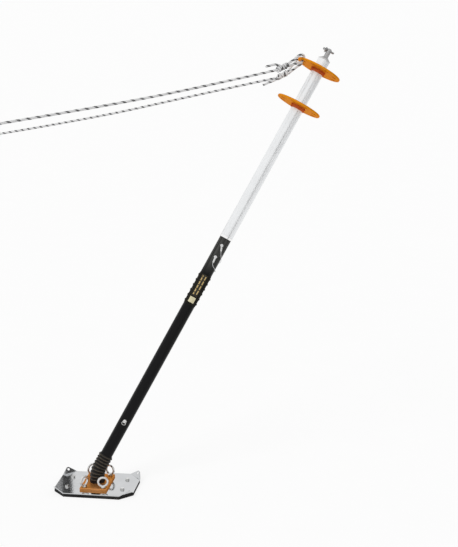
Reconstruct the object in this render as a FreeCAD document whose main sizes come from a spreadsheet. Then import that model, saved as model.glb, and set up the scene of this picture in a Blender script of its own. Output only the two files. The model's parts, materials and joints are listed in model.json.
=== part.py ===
"""Gin pole: a leaning sectional mast on a hinged foot, with two guy discs at its head."""
import FreeCAD, Part
import math
import os
import re
import Sketcher

Vector = FreeCAD.Vector

doc = FreeCAD.newDocument("gin_pole")
sheet = doc.addObject("Spreadsheet::Sheet", "Sizes")

# Driving dimensions, in millimetres and degrees
SIZES = {
    # How the mast stands
    "pivot_height": 84,
    "lean": 31.5,
    "heading": 30,
    "front_turn": -115,
    # Clearances
    "run_fit": 0.06,
    "slip_fit": 0.1,
    "end_play": 0.3,
    # Broken edges and the lead-in of plugs and pins
    "edge_break": 1,
    "lead_in": 2,
    # Base plate and its rubber sole
    "sole_thick": 16,
    "plate_thick": 4,
    "plate_length": 400,
    "plate_depth": 280,
    "corner_cut": 60,
    "ear_height": 38.5,
    "ear_round": 13,
    "ear_fold": 48,
    "ear_hole": 6.5,
    "screw_x": 140,
    "screw_y": 60,
    "screw_radius": 5,
    "screw_hex": 9.8,
    "screw_head": 6.4,
    "washer_radius": 11,
    "washer_thick": 2,
    "insert_radius": 8,
    "insert_long": 11,
    # Pivot block and its screws
    "block_length": 136,
    "block_depth": 196,
    "block_thick": 12,
    "block_chamfer": 2.5,
    "tap_x": 54,
    "tap_y": 46,
    "tap_radius": 4,
    "tap_head": 7.5,
    "tap_depth": 9,
    # Swivel eyes
    "eye_x": 47,
    "eye_y": 80,
    "eye_inner": 17.5,
    "eye_wire": 5.5,
    "eye_stem": 8,
    "eye_collar": 12,
    "eye_collar_tall": 7,
    "eye_collar_slope": 3,
    "eye_one_turn": -26,
    "eye_two_turn": 50,
    "eye_three_turn": 61,
    "eye_four_turn": 14,
    "peen_radius": 10.5,
    "peen_tall": 3,
    "bush_wall": 3,
    "bush_flange": 14,
    "bush_flange_thick": 2,
    "recess_depth": 5,
    "recess_gap": 2.5,
    # Turret and hinge
    "thrust_thick": 1.5,
    "thrust_margin": 1,
    "flange_margin": 1.4,
    "flange_thick": 8,
    "stud_radius": 14,
    "spigot_gap": 0.6,
    "stud_end": 1.6,
    "spigot_tall": 8,
    "clip_thick": 2,
    "clip_bite": 1.4,
    "clip_rim": 5,
    "cheek_thick": 10,
    "cheek_width": 36,
    "tongue_width": 22,
    "tongue_deep": 34,
    "hinge_radius": 8,
    "hinge_bush_wall": 2.5,
    "hinge_end": 3.2,
    "hinge_clip": 11,
    "hinge_clip_thick": 1.6,
    "hinge_groove": 1,
    "hinge_edge": 0.8,
    # Foot knuckle
    "shoulder_start": 40,
    "shoulder_long": 8,
    "knuckle_past_pin": 40,
    "knuckle_floor": 20,
    "knuckle_bore": 18,
    # Ribbed rubber boot
    "boot_slack": 1.4,
    "boot_wall": 1.5,
    "boot_rib": 3.9,
    "boot_pitch": 15,
    "boot_cuff_start": 60,
    "boot_end": 95,
    "boot_bend": 30,
    # Lower and upper tubes
    "tube_radius": 30,
    "tube_wall": 3.5,
    "lower_top": 1330,
    "ring_thick": 12,
    "ring_proud": 0.8,
    "upper_radius": 31.5,
    "upper_wall": 3,
    "upper_long": 1003,
    # Grip and its plates
    "grip_drop": 375,
    "grip_long": 170,
    "grip_valley": 1.2,
    "grip_crest": 4,
    "grip_ribs": 6,
    "rib_width": 12,
    "label_rise": 48,
    "label_long": 119,
    "tag_rise": 12,
    "tag_long": 30,
    "label_arc": 52,
    "label_thick": 0.6,
    # Coupler between the tubes
    "coupler_past_pin": 35,
    "coupler_past_rivet": 25,
    "coupler_bore": 20,
    "rivet_radius": 2.5,
    "rivet_edge": 33,
    "rivet_spacing": 40,
    # Ball lock pins of the coupler
    "pin_edge": 40,
    "pin_spacing": 65,
    "pin_radius": 5.2,
    "pin_play": 0.3,
    "pin_tip": 6.5,
    "pin_shoulder": 8,
    "pin_boss": 7,
    "pin_boss_top": 46,
    "pin_collar": 3,
    "pin_collar_slope": 2,
    "handle_radius": 4.5,
    "handle_long": 30,
    "handle_out": 40,
    "handle_one_turn": 22,
    "handle_two_turn": 6,
    "button_radius": 4.4,
    "button_travel": 3,
    "button_thick": 4,
    "button_edge": 0.6,
    "button_collar": 1,
    "spindle_radius": 2,
    "spindle_inset": 2.2,
    "chamber_radius": 4.1,
    "chamber_start": 31,
    "ball_radius": 1.5,
    "ball_proud": 0.2,
    "ball_depth": 3.5,
    # Lanyards of those pins
    "lanyard_radius": 1.1,
    "anchor_radius": 3.6,
    "anchor_long": 15,
    "anchor_one_drop": 41,
    "anchor_two_drop": 83,
    "anchor_rivet": 1.6,
    "anchor_turn": 130,
    # Foot lock pin
    "foot_pin_height": 290,
    "foot_pin_radius": 6,
    "foot_pin_head": 9,
    "foot_pin_head_thick": 6,
    "lug_long": 11,
    "lug_width": 11,
    "lug_thick": 3.2,
    "ring_play": 0.5,
    "link_radius": 9.5,
    "link_wire": 1.3,
    # Guy discs
    "disc_drop": 53,
    "disc_spacing": 206,
    "disc_radius": 117.5,
    "disc_thick": 10,
    "disc_edge": 2,
    "disc_hole_circle": 92.5,
    "disc_hole": 12,
    "disc_holes": 8,
    "disc_bush_wall": 3,
    "disc_bush_flange": 40,
    "disc_bush_flange_thick": 1.5,
    "collar_radius": 37,
    "collar_tall": 14,
    "collar_edge": 2,
    "collar_screw": 3,
    "collar_screw_inset": 0.5,
    "disc_clip_radius": 36,
    "disc_clip_thick": 4,
    # Head
    "cap_plug": 60,
    "cap_lip": 5,
    "cap_cone": 12,
    "post_radius": 12,
    "post_foot": 15,
    "post_foot_tall": 3,
    "post_tall": 65,
    "post_dome": 5,
    "post_dome_inset": 4,
    "head_pin_rise": 53,
    "head_pin_radius": 5,
    "head_pin_reach": 28,
    "head_grip_radius": 12,
    "head_grip_long": 9,
    # Guy ropes
    "rope_radius": 5.75,
    "knot_radius": 16,
    "knot_waist": 12.5,
    "knot_neck": 8,
}

for row, (alias, number) in enumerate(SIZES.items(), start=1):
    sheet.set(f"A{row}", alias.replace("_", " "))
    sheet.set(f"B{row}", str(number))
    sheet.setAlias(f"B{row}", alias)
doc.recompute()


def value(text):
    """The number that an expression in size names comes to."""
    return float(sheet.evalExpression(str(text)))


def link(text):
    """An expression in which each size name points at its cell."""
    return re.sub(
        r"[a-z][a-z_]*",
        lambda word: "Sizes." + word.group() if word.group() in SIZES else word.group(),
        str(text),
    )


# Heights and radii that follow from the driving dimensions
PLATE_TOP = "(sole_thick + plate_thick)"
BLOCK_TOP = f"({PLATE_TOP} + block_thick)"
RECESS_TOP = f"({PLATE_TOP} + recess_depth)"
FLANGE_BOTTOM = f"({BLOCK_TOP} + thrust_thick)"
FLANGE_TOP = f"({FLANGE_BOTTOM} + flange_thick)"
SPIGOT_TOP = f"({FLANGE_TOP} + spigot_tall)"
EYE_FOOT = f"({BLOCK_TOP} + bush_flange_thick + end_play)"
EYE_MIDDLE = f"({EYE_FOOT} + eye_inner + 2 * eye_wire)"
BOOT_BORE = "(tube_radius + boot_slack)"
BOOT_VALLEY = f"({BOOT_BORE} + boot_wall)"
BOOT_CREST = f"({BOOT_VALLEY} + boot_rib)"
FLANGE_RADIUS = f"({BOOT_CREST} + flange_margin)"
TUBE_START = "(shoulder_start + shoulder_long)"
KNUCKLE_END = "(foot_pin_height + knuckle_past_pin)"
LOWER_BORE = "(tube_radius - tube_wall)"
UPPER_BORE = "(upper_radius - upper_wall)"
UPPER_START = "(lower_top + ring_thick)"
UPPER_TOP = f"({UPPER_START} + upper_long)"
GRIP_START = "(lower_top - grip_drop)"
PIN_HIGH = "(lower_top - pin_edge)"
PIN_LOW = f"({PIN_HIGH} - pin_spacing)"
COUPLER_START = f"({PIN_LOW} - coupler_past_pin)"
RIVET_LOW = f"({UPPER_START} + rivet_edge)"
RIVET_HIGH = f"({RIVET_LOW} + rivet_spacing)"
COUPLER_END = f"({RIVET_HIGH} + coupler_past_rivet)"
UPPER_DISC = f"({UPPER_TOP} - disc_drop)"
LOWER_DISC = f"({UPPER_DISC} - disc_spacing)"
HEAD_PIN = f"({UPPER_TOP} + head_pin_rise)"
LUG_HOLE = "(link_wire + ring_play)"
CHEEK_OUTSIDE = "(tongue_width / 2 + end_play + cheek_thick)"
PIN_HOLE = "(pin_radius + pin_play)"
FOOT_PIN_HOLE = "(foot_pin_radius + slip_fit)"
DISC_BORE = "(upper_radius + run_fit + disc_bush_wall)"


def frame_at(x="0", y="0", z="0", yaw="0", pitch="0", roll="0"):
    """A placement expression: a point, and turns about Z, Y and X."""
    turn = f"create(<<rotation>>; {yaw}; {pitch}; {roll})"
    return f"create(<<placement>>; create(<<vector>>; {x}; {y}; {z}); {turn})"


# The frames that pieces are placed in, as placement expressions
FLOOR = frame_at()
TURRET = frame_at(yaw="heading")
LEANING = frame_at(z="pivot_height", yaw="heading", pitch="lean")
MAST = f"{LEANING} * {frame_at(yaw='front_turn')}"

# Turns that lay a piece's own Z axis along another axis
ALONG = {
    "Z": "create(<<rotation>>; 0; 0; 0)",
    "X": "create(<<rotation>>; create(<<vector>>; 0; 1; 0); 90)",
    "Y": "create(<<rotation>>; create(<<vector>>; 1; 0; 0); -90)",
    "-Y": "create(<<rotation>>; create(<<vector>>; 1; 0; 0); 90)",
}


def put(piece, frame=FLOOR, at=("0", "0", "0"), along="Z", turn="0"):
    """Place a piece in a frame: turned about the frame's Z, at a point, its Z along an axis."""
    x, y, z = at
    shift = f"create(<<placement>>; create(<<vector>>; {x}; {y}; {z}); {ALONG[along]})"
    piece.setExpression("Placement", link(f"{frame} * {frame_at(yaw=turn)} * {shift}"))
    return piece


def cylinder(name, radius, height, at=("0", "0", "0"), along="Z", frame=FLOOR, turn="0"):
    """A plain round piece or cutter."""
    piece = doc.addObject("Part::Cylinder", name)
    piece.setExpression("Radius", link(radius))
    piece.setExpression("Height", link(height))
    return put(piece, frame, at, along, turn)


def block(name, length, width, height, at, frame=FLOOR, turn="0"):
    """A box that is centred on its place in X and Y and stands on it."""
    piece = doc.addObject("Part::Box", name)
    piece.setExpression("Length", link(length))
    piece.setExpression("Width", link(width))
    piece.setExpression("Height", link(height))
    x, y, z = at
    return put(piece, frame, (f"{x} - ({length}) / 2", f"{y} - ({width}) / 2", z), "Z", turn)


def ring(name, radius, wire, at, frame=FLOOR, turn="0", along="Z"):
    """A round wire bent to a closed ring."""
    piece = doc.addObject("Part::Torus", name)
    piece.setExpression("Radius1", link(radius))
    piece.setExpression("Radius2", link(wire))
    return put(piece, frame, at, along, turn)


def outline(body, name, plane_role, points):
    """A closed sketch of straight lines, each corner held by two linked dimensions."""
    sketch = body.newObject("Sketcher::SketchObject", name)
    plane = [item for item in body.Origin.OriginFeatures if item.Role == plane_role][0]
    sketch.AttachmentSupport = [(plane, "")]
    sketch.MapMode = "FlatFace"
    places = [Vector(value(across), value(upward), 0) for across, upward in points]
    count = len(points)
    for index in range(count):
        sketch.addGeometry(Part.LineSegment(places[index], places[(index + 1) % count]))
    for index in range(count):
        sketch.addConstraint(Sketcher.Constraint("Coincident", index, 2, (index + 1) % count, 1))
    for index, (across, upward) in enumerate(points):
        for kind, axis, text, start in (
            ("DistanceX", -2, across, places[index].x),
            ("DistanceY", -1, upward, places[index].y),
        ):
            if text == "0":
                sketch.addConstraint(Sketcher.Constraint("PointOnObject", index, 1, axis))
            else:
                held = sketch.addConstraint(Sketcher.Constraint(kind, -1, 1, index, 1, start))
                sketch.setExpression(f"Constraints[{held}]", link(text))
    return sketch


def turned(name, profile):
    """A piece turned about Z from corners of (radius, height)."""
    body = doc.addObject("PartDesign::Body", name)
    sketch = outline(body, name + "_profile", "XZ_Plane", profile)
    feature = body.newObject("PartDesign::Revolution", name + "_turn")
    feature.Profile = sketch
    feature.ReferenceAxis = (sketch, ["V_Axis"])
    feature.Angle = 360
    return body


def sleeve(name, inner, outer, bottom, top):
    """A plain turned tube."""
    return turned(name, [(inner, bottom), (outer, bottom), (outer, top), (inner, top)])


def padded(name, corners, thickness):
    """A flat piece raised along Z from an outline."""
    body = doc.addObject("PartDesign::Body", name)
    sketch = outline(body, name + "_outline", "XY_Plane", corners)
    feature = body.newObject("PartDesign::Pad", name + "_pad")
    feature.Profile = sketch
    feature.setExpression("Length", link(thickness))
    return body


def cut(name, base, tools):
    """One solid with others taken out of it."""
    piece = doc.addObject("Part::Cut", name)
    piece.Base = base
    piece.Tool = tools[0] if len(tools) == 1 else fused(name + "_tools", tools)
    return piece


def fused(name, pieces):
    """Several solids joined."""
    piece = doc.addObject("Part::MultiFuse", name)
    piece.Shapes = pieces
    return piece


def group(name, pieces):
    """Identical loose pieces that share one node."""
    piece = doc.addObject("Part::Compound", name)
    piece.Links = pieces
    return piece


NODES = []


def node(piece, label=None):
    """Name a finished piece and keep it for writing."""
    piece.Label = label or piece.Name
    NODES.append(piece)
    return piece


CORNERS = [("1", "1"), ("-1", "1"), ("-1", "-1"), ("1", "-1")]


def four(name, make, across, upward):
    """Four pieces at the corners of a rectangle."""
    return [
        make(f"{name}_{index}", f"{sx} * {across}", f"{sy} * {upward}")
        for index, (sx, sy) in enumerate(CORNERS, start=1)
    ]


def octagon():
    """The plate's outline: a rectangle with its corners cut."""
    half_x, half_y = "plate_length / 2", "plate_depth / 2"
    inner_x, inner_y = f"({half_x} - corner_cut)", f"({half_y} - corner_cut)"
    return [
        (half_x, f"-1 * {inner_y}"), (half_x, inner_y),
        (inner_x, half_y), (f"-1 * {inner_x}", half_y),
        (f"-1 * {half_x}", inner_y), (f"-1 * {half_x}", f"-1 * {inner_y}"),
        (f"-1 * {inner_x}", f"-1 * {half_y}"), (inner_x, f"-1 * {half_y}"),
    ]


# Rubber sole with threaded inserts moulded in
def make_sole():
    slab = padded("sole_slab", octagon(), "sole_thick")
    bottom = "sole_thick - insert_long"
    wells = four(
        "sole_well",
        lambda name, x, y: cylinder(name, "insert_radius", "insert_long", (x, y, bottom)),
        "screw_x", "screw_y",
    )
    node(cut("rubber_sole", slab, wells))
    inserts = four(
        "insert",
        lambda name, x, y: put(
            sleeve(name, "screw_radius", "insert_radius", "0", "insert_long"),
            at=(x, y, bottom),
        ),
        "screw_x", "screw_y",
    )
    node(group("sole_inserts", inserts))


# Corner ears of the base plate, folded up along the cut corners
def ear(index, sx, sy):
    half = "corner_cut / sqrt(2)"
    flap = padded(f"ear_{index}", [("0", f"-1 * {half}"), ("ear_height", "0"), ("0", half)], "plate_thick")
    doc.recompute()
    tip = [
        f"Edge{number}"
        for number, edge in enumerate(flap.Shape.Edges, start=1)
        if all(vertex.X > value("ear_height") / 2 for vertex in edge.Vertexes)
    ]
    rounding = flap.newObject("PartDesign::Fillet", f"ear_{index}_round")
    rounding.Base = (flap.Group[1], tip)
    rounding.setExpression("Radius", link("ear_round"))
    middle = "ear_height - ear_round / sin(atan(corner_cut / sqrt(2) / ear_height))"
    hole = cylinder(f"ear_{index}_hole", "ear_hole", "3 * plate_thick", (middle, "0", "-1 * plate_thick"))
    leaf = cut(f"ear_{index}_leaf", flap, [hole])
    bearing = {"11": "45", "-11": "135", "-1-1": "225", "1-1": "315"}[sx + sy]
    edge_x = f"{sx} * (plate_length - corner_cut) / 2"
    edge_y = f"{sy} * (plate_depth - corner_cut) / 2"
    fold = frame_at(edge_x, edge_y, PLATE_TOP, bearing, "-1 * ear_fold")
    leaf.setExpression("Placement", link(f"{fold} * {frame_at(z='-1 * plate_thick')}"))
    bend = doc.addObject("Part::Cylinder", f"ear_{index}_bend")
    bend.setExpression("Radius", link("plate_thick"))
    bend.setExpression("Height", link("corner_cut * sqrt(2)"))
    bend.setExpression("Angle", link("ear_fold"))
    crease = frame_at(edge_x, edge_y, PLATE_TOP, bearing, "90", "90")
    bend.setExpression("Placement", link(f"{crease} * {frame_at(z=f'-1 * {half}')}"))
    return [leaf, bend]


# Base plate with its ears and screw holes
def make_plate():
    slab = put(padded("plate_slab", octagon(), "plate_thick"), at=("0", "0", "sole_thick"))
    parts = [slab]
    for index, (sx, sy) in enumerate(CORNERS, start=1):
        parts += ear(index, sx, sy)
    sheet_metal = fused("plate_sheet", parts)
    clearance = "screw_radius + 5 * slip_fit"
    under = "sole_thick - plate_thick / 2"
    holes = four(
        "plate_hole",
        lambda name, x, y: cylinder(name, clearance, "2 * plate_thick", (x, y, under)),
        "screw_x", "screw_y",
    )
    holes += four("tap_sink", tap_sink, "tap_x", "tap_y")
    node(cut("base_plate", sheet_metal, holes))


def tap_sink(name, x, y):
    """A countersunk hole in the plate's underside."""
    return put(turned(name, countersunk("slip_fit", "plate_thick + slip_fit")), at=(x, y, "sole_thick"))


def countersunk(grow, top):
    """The profile of a countersunk screw, head down."""
    shank = f"(tap_radius + {grow})"
    depth = "(tap_head - tap_radius)"
    return [("0", "0"), (f"tap_head + {grow}", "0"), (shank, depth), (shank, top), ("0", top)]


def make_plate_screws():
    def screw(name, x, y):
        head = doc.addObject("Part::Prism", name + "_head")
        head.Polygon = 6
        head.setExpression("Circumradius", link("screw_hex"))
        head.setExpression("Height", link("screw_head"))
        put(head, at=(x, y, f"{PLATE_TOP} + washer_thick"))
        start = "(sole_thick - insert_long + edge_break)"
        length = f"{PLATE_TOP} + washer_thick - {start}"
        shank = cylinder(name + "_shank", "screw_radius", length, (x, y, start))
        return fused(name, [head, shank])

    def washer(name, x, y):
        inner = "screw_radius + slip_fit"
        return put(sleeve(name, inner, "washer_radius", "0", "washer_thick"), at=(x, y, PLATE_TOP))

    node(group("plate_screws", four("plate_screw", screw, "screw_x", "screw_y")))
    node(group("plate_washers", four("plate_washer", washer, "screw_x", "screw_y")))


# Pivot block with bores for the turret and the eyes
def make_block():
    half_x, half_y = "block_length / 2", "block_depth / 2"
    slab = padded(
        "block_slab",
        [(half_x, f"-1 * {half_y}"), (half_x, half_y), (f"-1 * {half_x}", half_y),
         (f"-1 * {half_x}", f"-1 * {half_y}")],
        "block_thick",
    )
    doc.recompute()
    top = [
        f"Edge{number}"
        for number, edge in enumerate(slab.Shape.Edges, start=1)
        if edge.BoundBox.ZMin > value("block_thick") / 2 or edge.BoundBox.ZLength > value("block_thick") / 2
    ]
    chamfer = slab.newObject("PartDesign::Chamfer", "block_chamfer_edge")
    chamfer.Base = (slab.Group[1], top)
    chamfer.setExpression("Size", link("block_chamfer"))
    put(slab, at=("0", "0", PLATE_TOP))
    through = "2 * block_thick"
    under = f"{PLATE_TOP} - block_thick / 2"
    recess = "stud_radius + clip_rim + recess_gap"
    cuts = [
        cylinder("turret_bore", "stud_radius + run_fit", through, ("0", "0", under)),
        cylinder("turret_recess", recess, "recess_depth", ("0", "0", PLATE_TOP)),
    ]
    cuts += four(
        "bush_bore",
        lambda name, x, y: cylinder(name, "eye_stem + run_fit + bush_wall", through, (x, y, under)),
        "eye_x", "eye_y",
    )
    cuts += four(
        "eye_recess",
        lambda name, x, y: cylinder(name, "peen_radius + recess_gap", "recess_depth", (x, y, PLATE_TOP)),
        "eye_x", "eye_y",
    )
    cuts += four(
        "tap_hole",
        lambda name, x, y: cylinder(name, "tap_radius", "tap_depth", (x, y, PLATE_TOP)),
        "tap_x", "tap_y",
    )
    node(cut("pivot_block", slab, cuts))
    end = "plate_thick + tap_depth - edge_break"
    screws = four(
        "block_screw",
        lambda name, x, y: put(turned(name, countersunk("0", end)), at=(x, y, "sole_thick")),
        "tap_x", "tap_y",
    )
    node(group("block_screws", screws))


# Swivel eyes, each peened over under a flanged bush in the block
EYE_TURNS = ["eye_one_turn", "eye_two_turn", "eye_three_turn", "eye_four_turn"]


def make_eyes():
    def bush(name, x, y):
        inner, outer = "eye_stem + run_fit", "eye_stem + run_fit + bush_wall"
        flange = "block_thick - recess_depth"
        top = f"{flange} + bush_flange_thick"
        shape = turned(name, [(inner, "0"), (outer, "0"), (outer, flange), ("bush_flange", flange),
                              ("bush_flange", top), (inner, top)])
        return put(shape, at=(x, y, RECESS_TOP))

    node(group("eye_bushes", four("eye_bush", bush, "eye_x", "eye_y")))
    for index, (sx, sy) in enumerate(CORNERS, start=1):
        x, y = f"{sx} * eye_x", f"{sy} * eye_y"
        peen_top = f"{RECESS_TOP} - end_play"
        stem = turned(f"eye_stem_{index}", [
            ("0", f"{peen_top} - peen_tall"), ("peen_radius - edge_break", f"{peen_top} - peen_tall"),
            ("peen_radius", f"{peen_top} - peen_tall + edge_break"), ("peen_radius", peen_top),
            ("eye_stem", peen_top), ("eye_stem", EYE_FOOT), ("eye_collar", EYE_FOOT),
            ("eye_collar", f"{EYE_FOOT} + eye_collar_tall - eye_collar_slope"),
            ("eye_stem", f"{EYE_FOOT} + eye_collar_tall"), ("0", f"{EYE_FOOT} + eye_collar_tall"),
        ])
        middle = ("0", "0", EYE_MIDDLE)
        loop = ring(f"eye_loop_{index}", "eye_inner + eye_wire", "eye_wire", middle, along="Y")
        eye = fused(f"swivel_eye_{index}", [stem, loop])
        node(put(eye, frame_at(x, y, yaw=EYE_TURNS[index - 1])))


# Turret that swivels in the block and carries the hinge
def make_turret():
    inner = "stud_radius + run_fit"
    node(sleeve("thrust_washer", inner, f"{FLANGE_RADIUS} - thrust_margin", BLOCK_TOP, FLANGE_BOTTOM))
    groove_low = f"({RECESS_TOP} - end_play - clip_thick)"
    groove_top = f"({RECESS_TOP} - end_play)"
    stud_end = f"({groove_low} - stud_end)"
    groove = "(stud_radius - clip_bite)"
    spigot = f"({BOOT_BORE} - spigot_gap)"
    base = turned("turret_base", [
        ("0", stud_end), ("stud_radius", stud_end), ("stud_radius", groove_low), (groove, groove_low),
        (groove, groove_top), ("stud_radius", groove_top), ("stud_radius", FLANGE_BOTTOM),
        (FLANGE_RADIUS, FLANGE_BOTTOM), (FLANGE_RADIUS, FLANGE_TOP),
        (spigot, FLANGE_TOP), (spigot, SPIGOT_TOP), ("0", SPIGOT_TOP),
    ])
    parts = [base]
    for side, sign in (("near", "-1"), ("far", "1")):
        middle = f"{sign} * (tongue_width / 2 + end_play + cheek_thick / 2)"
        foot = f"({SPIGOT_TOP} - spigot_tall / 2)"
        parts.append(block(f"cheek_{side}", "cheek_width", "cheek_thick", f"pivot_height - {foot}",
                           ("0", middle, foot)))
        start = f"{middle} - cheek_thick / 2"
        parts.append(cylinder(f"cheek_{side}_top", "cheek_width / 2", "cheek_thick",
                              ("0", start, "pivot_height"), "Y"))
    solid = fused("turret_solid", parts)
    bore = cylinder("hinge_bore", "hinge_radius", f"4 * {CHEEK_OUTSIDE}",
                    ("0", f"-2 * {CHEEK_OUTSIDE}", "pivot_height"), "Y")
    node(put(cut("turret", solid, [bore]), TURRET))
    node(sleeve("turret_clip", groove, "stud_radius + clip_rim", groove_low, groove_top))


# Hinge pin with a retaining clip at each end
def make_hinge():
    end = f"({CHEEK_OUTSIDE} + hinge_end)"
    low = f"({CHEEK_OUTSIDE} + slip_fit)"
    top = f"({low} + hinge_clip_thick)"
    groove = "(hinge_radius - hinge_groove)"
    side = [("hinge_radius", low), (groove, low), (groove, top), ("hinge_radius", top),
            ("hinge_radius", f"{end} - hinge_edge"), ("hinge_radius - hinge_edge", end)]
    mirrored = [(radius, f"-1 * ({height})") for radius, height in reversed(side)]
    pin = turned("hinge_pin", [("0", f"-1 * {end}")] + mirrored + side + [("0", end)])
    node(put(pin, TURRET, ("0", "0", "pivot_height"), "Y"))
    clips = [
        put(sleeve(f"hinge_clip_{which}", groove, "hinge_clip", "0", "hinge_clip_thick"),
            TURRET, ("0", place, "pivot_height"), "Y")
        for which, place in (("near", f"-1 * {top}"), ("far", low))
    ]
    node(group("hinge_clips", clips))


# Knuckle: the tongue on the hinge and the plug in the lower tube
def make_knuckle():
    plug = f"({LOWER_BORE} - slip_fit)"
    floor = f"({TUBE_START} + knuckle_floor)"
    shaft = turned("knuckle_shaft", [
        ("0", "shoulder_start"), ("tube_radius - lead_in", "shoulder_start"),
        ("tube_radius", "shoulder_start + lead_in"), ("tube_radius", TUBE_START), (plug, TUBE_START),
        (plug, KNUCKLE_END), ("knuckle_bore", KNUCKLE_END), ("knuckle_bore", floor), ("0", floor),
    ])
    tongue = block("tongue", "tongue_deep", "tongue_width", "shoulder_start + edge_break", ("0", "0", "0"))
    side = ("0", "-1 * tongue_width / 2", "0")
    nose = cylinder("tongue_nose", "tongue_deep / 2", "tongue_width", side, "Y")
    solid = fused("knuckle_solid", [shaft, tongue, nose])
    outer = "hinge_radius + run_fit + hinge_bush_wall"
    bore = cylinder("knuckle_eye", outer, "2 * tongue_width", ("0", "-1 * tongue_width", "0"), "Y")
    cross = cylinder("knuckle_cross", FOOT_PIN_HOLE, "4 * tube_radius",
                     ("-2 * tube_radius", "0", "foot_pin_height"), "X", turn="front_turn")
    node(put(cut("foot_knuckle", solid, [bore, cross]), LEANING))
    bush = sleeve("knuckle_bush", "hinge_radius + run_fit", outer, "0", "tongue_width")
    node(put(bush, LEANING, side, "Y"))


# Ribbed boot that bends round the hinge: the shares of a rib's pitch and its radius there
RIB_SHAPE = [(0, BOOT_VALLEY), (0.3, BOOT_CREST), (0.55, BOOT_CREST), (0.85, BOOT_VALLEY)]


def boot_station(distance, bend_radius, bottom):
    """A point of the boot's middle line and its direction, in the upright turret frame."""
    lean = math.radians(value("lean"))
    tangent = value("boot_bend")
    start = value("pivot_height") - tangent
    arc = bend_radius * lean
    if distance <= start - bottom:
        return Vector(0, 0, bottom + distance), Vector(0, 0, 1)
    rest = distance - (start - bottom)
    if rest <= arc:
        angle = rest / bend_radius
        place = Vector(bend_radius * (1 - math.cos(angle)), 0, start + bend_radius * math.sin(angle))
        return place, Vector(math.sin(angle), 0, math.cos(angle))
    along = Vector(math.sin(lean), 0, math.cos(lean))
    return Vector(0, 0, value("pivot_height")) + along * (tangent + rest - arc), along


def hoop(place, direction, radius):
    """A circle square to a direction, with its start on the steady hinge axis."""
    frame = FreeCAD.Rotation(Vector(0, 1, 0), direction.cross(Vector(0, 1, 0)) * -1, direction, "ZXY")
    circle = Part.Circle(Vector(0, 0, 0), Vector(0, 0, 1), radius).toShape()
    circle.Placement = FreeCAD.Placement(place, frame)
    return Part.Wire([circle])


def make_boot():
    bottom = value(FLANGE_TOP) + value("end_play")
    bend_radius = value("boot_bend") / math.tan(math.radians(value("lean")) / 2)
    arc = bend_radius * math.radians(value("lean"))
    total = value("pivot_height + boot_end - 2 * boot_bend") - bottom + arc
    ribs = int(total / value("boot_pitch"))
    pitch = total / ribs
    stations = []
    for rib in range(ribs):
        stations += [((rib + share) * pitch, value(radius)) for share, radius in RIB_SHAPE]
    stations.append((total, value(BOOT_VALLEY)))
    outside = [hoop(*boot_station(place, bend_radius, bottom), radius) for place, radius in stations]
    solid = Part.makeLoft(outside, True, True)
    cuff = total - (value("boot_end") - value("boot_cuff_start"))
    steps = 8
    inner = [
        hoop(*boot_station(cuff * index / steps, bend_radius, bottom), value(BOOT_BORE))
        for index in range(steps + 1)
    ]
    solid = solid.cut(Part.makeLoft(inner, True, True))
    place, along = boot_station(cuff, bend_radius, bottom)
    tube = Part.makeCylinder(value("tube_radius"), total - cuff + 1, place - along * 0.5, along)
    boot = doc.addObject("Part::Feature", "boot")
    boot.Shape = solid.cut(tube)
    put(boot, TURRET)
    node(boot)


# The two tubes, the coupler inside them and the ring between them
def cross_hole(name, radius, height, frame=FLOOR, turn="0"):
    """A cutter right through the mast along its front direction."""
    reach = "2 * tube_radius"
    return cylinder(name, radius, f"2 * {reach}", (f"-1 * {reach}", "0", height), "X", frame, turn)


def anchor_hole(name, drop):
    """A rivet hole through the lower tube's wall."""
    height = f"({PIN_LOW} - {drop} - anchor_long / 2)"
    return cylinder(name, "anchor_rivet", "2 * tube_wall", (f"{LOWER_BORE} - tube_wall / 2", "0", height),
                    "X", FLOOR, "anchor_turn")


def rivet_hole(name, height, length):
    """A rivet or its hole on the back of the mast, from the upper tube's face inward."""
    return cylinder(name, "rivet_radius", length, ("-1 * upper_radius", "0", height), "X")


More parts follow.
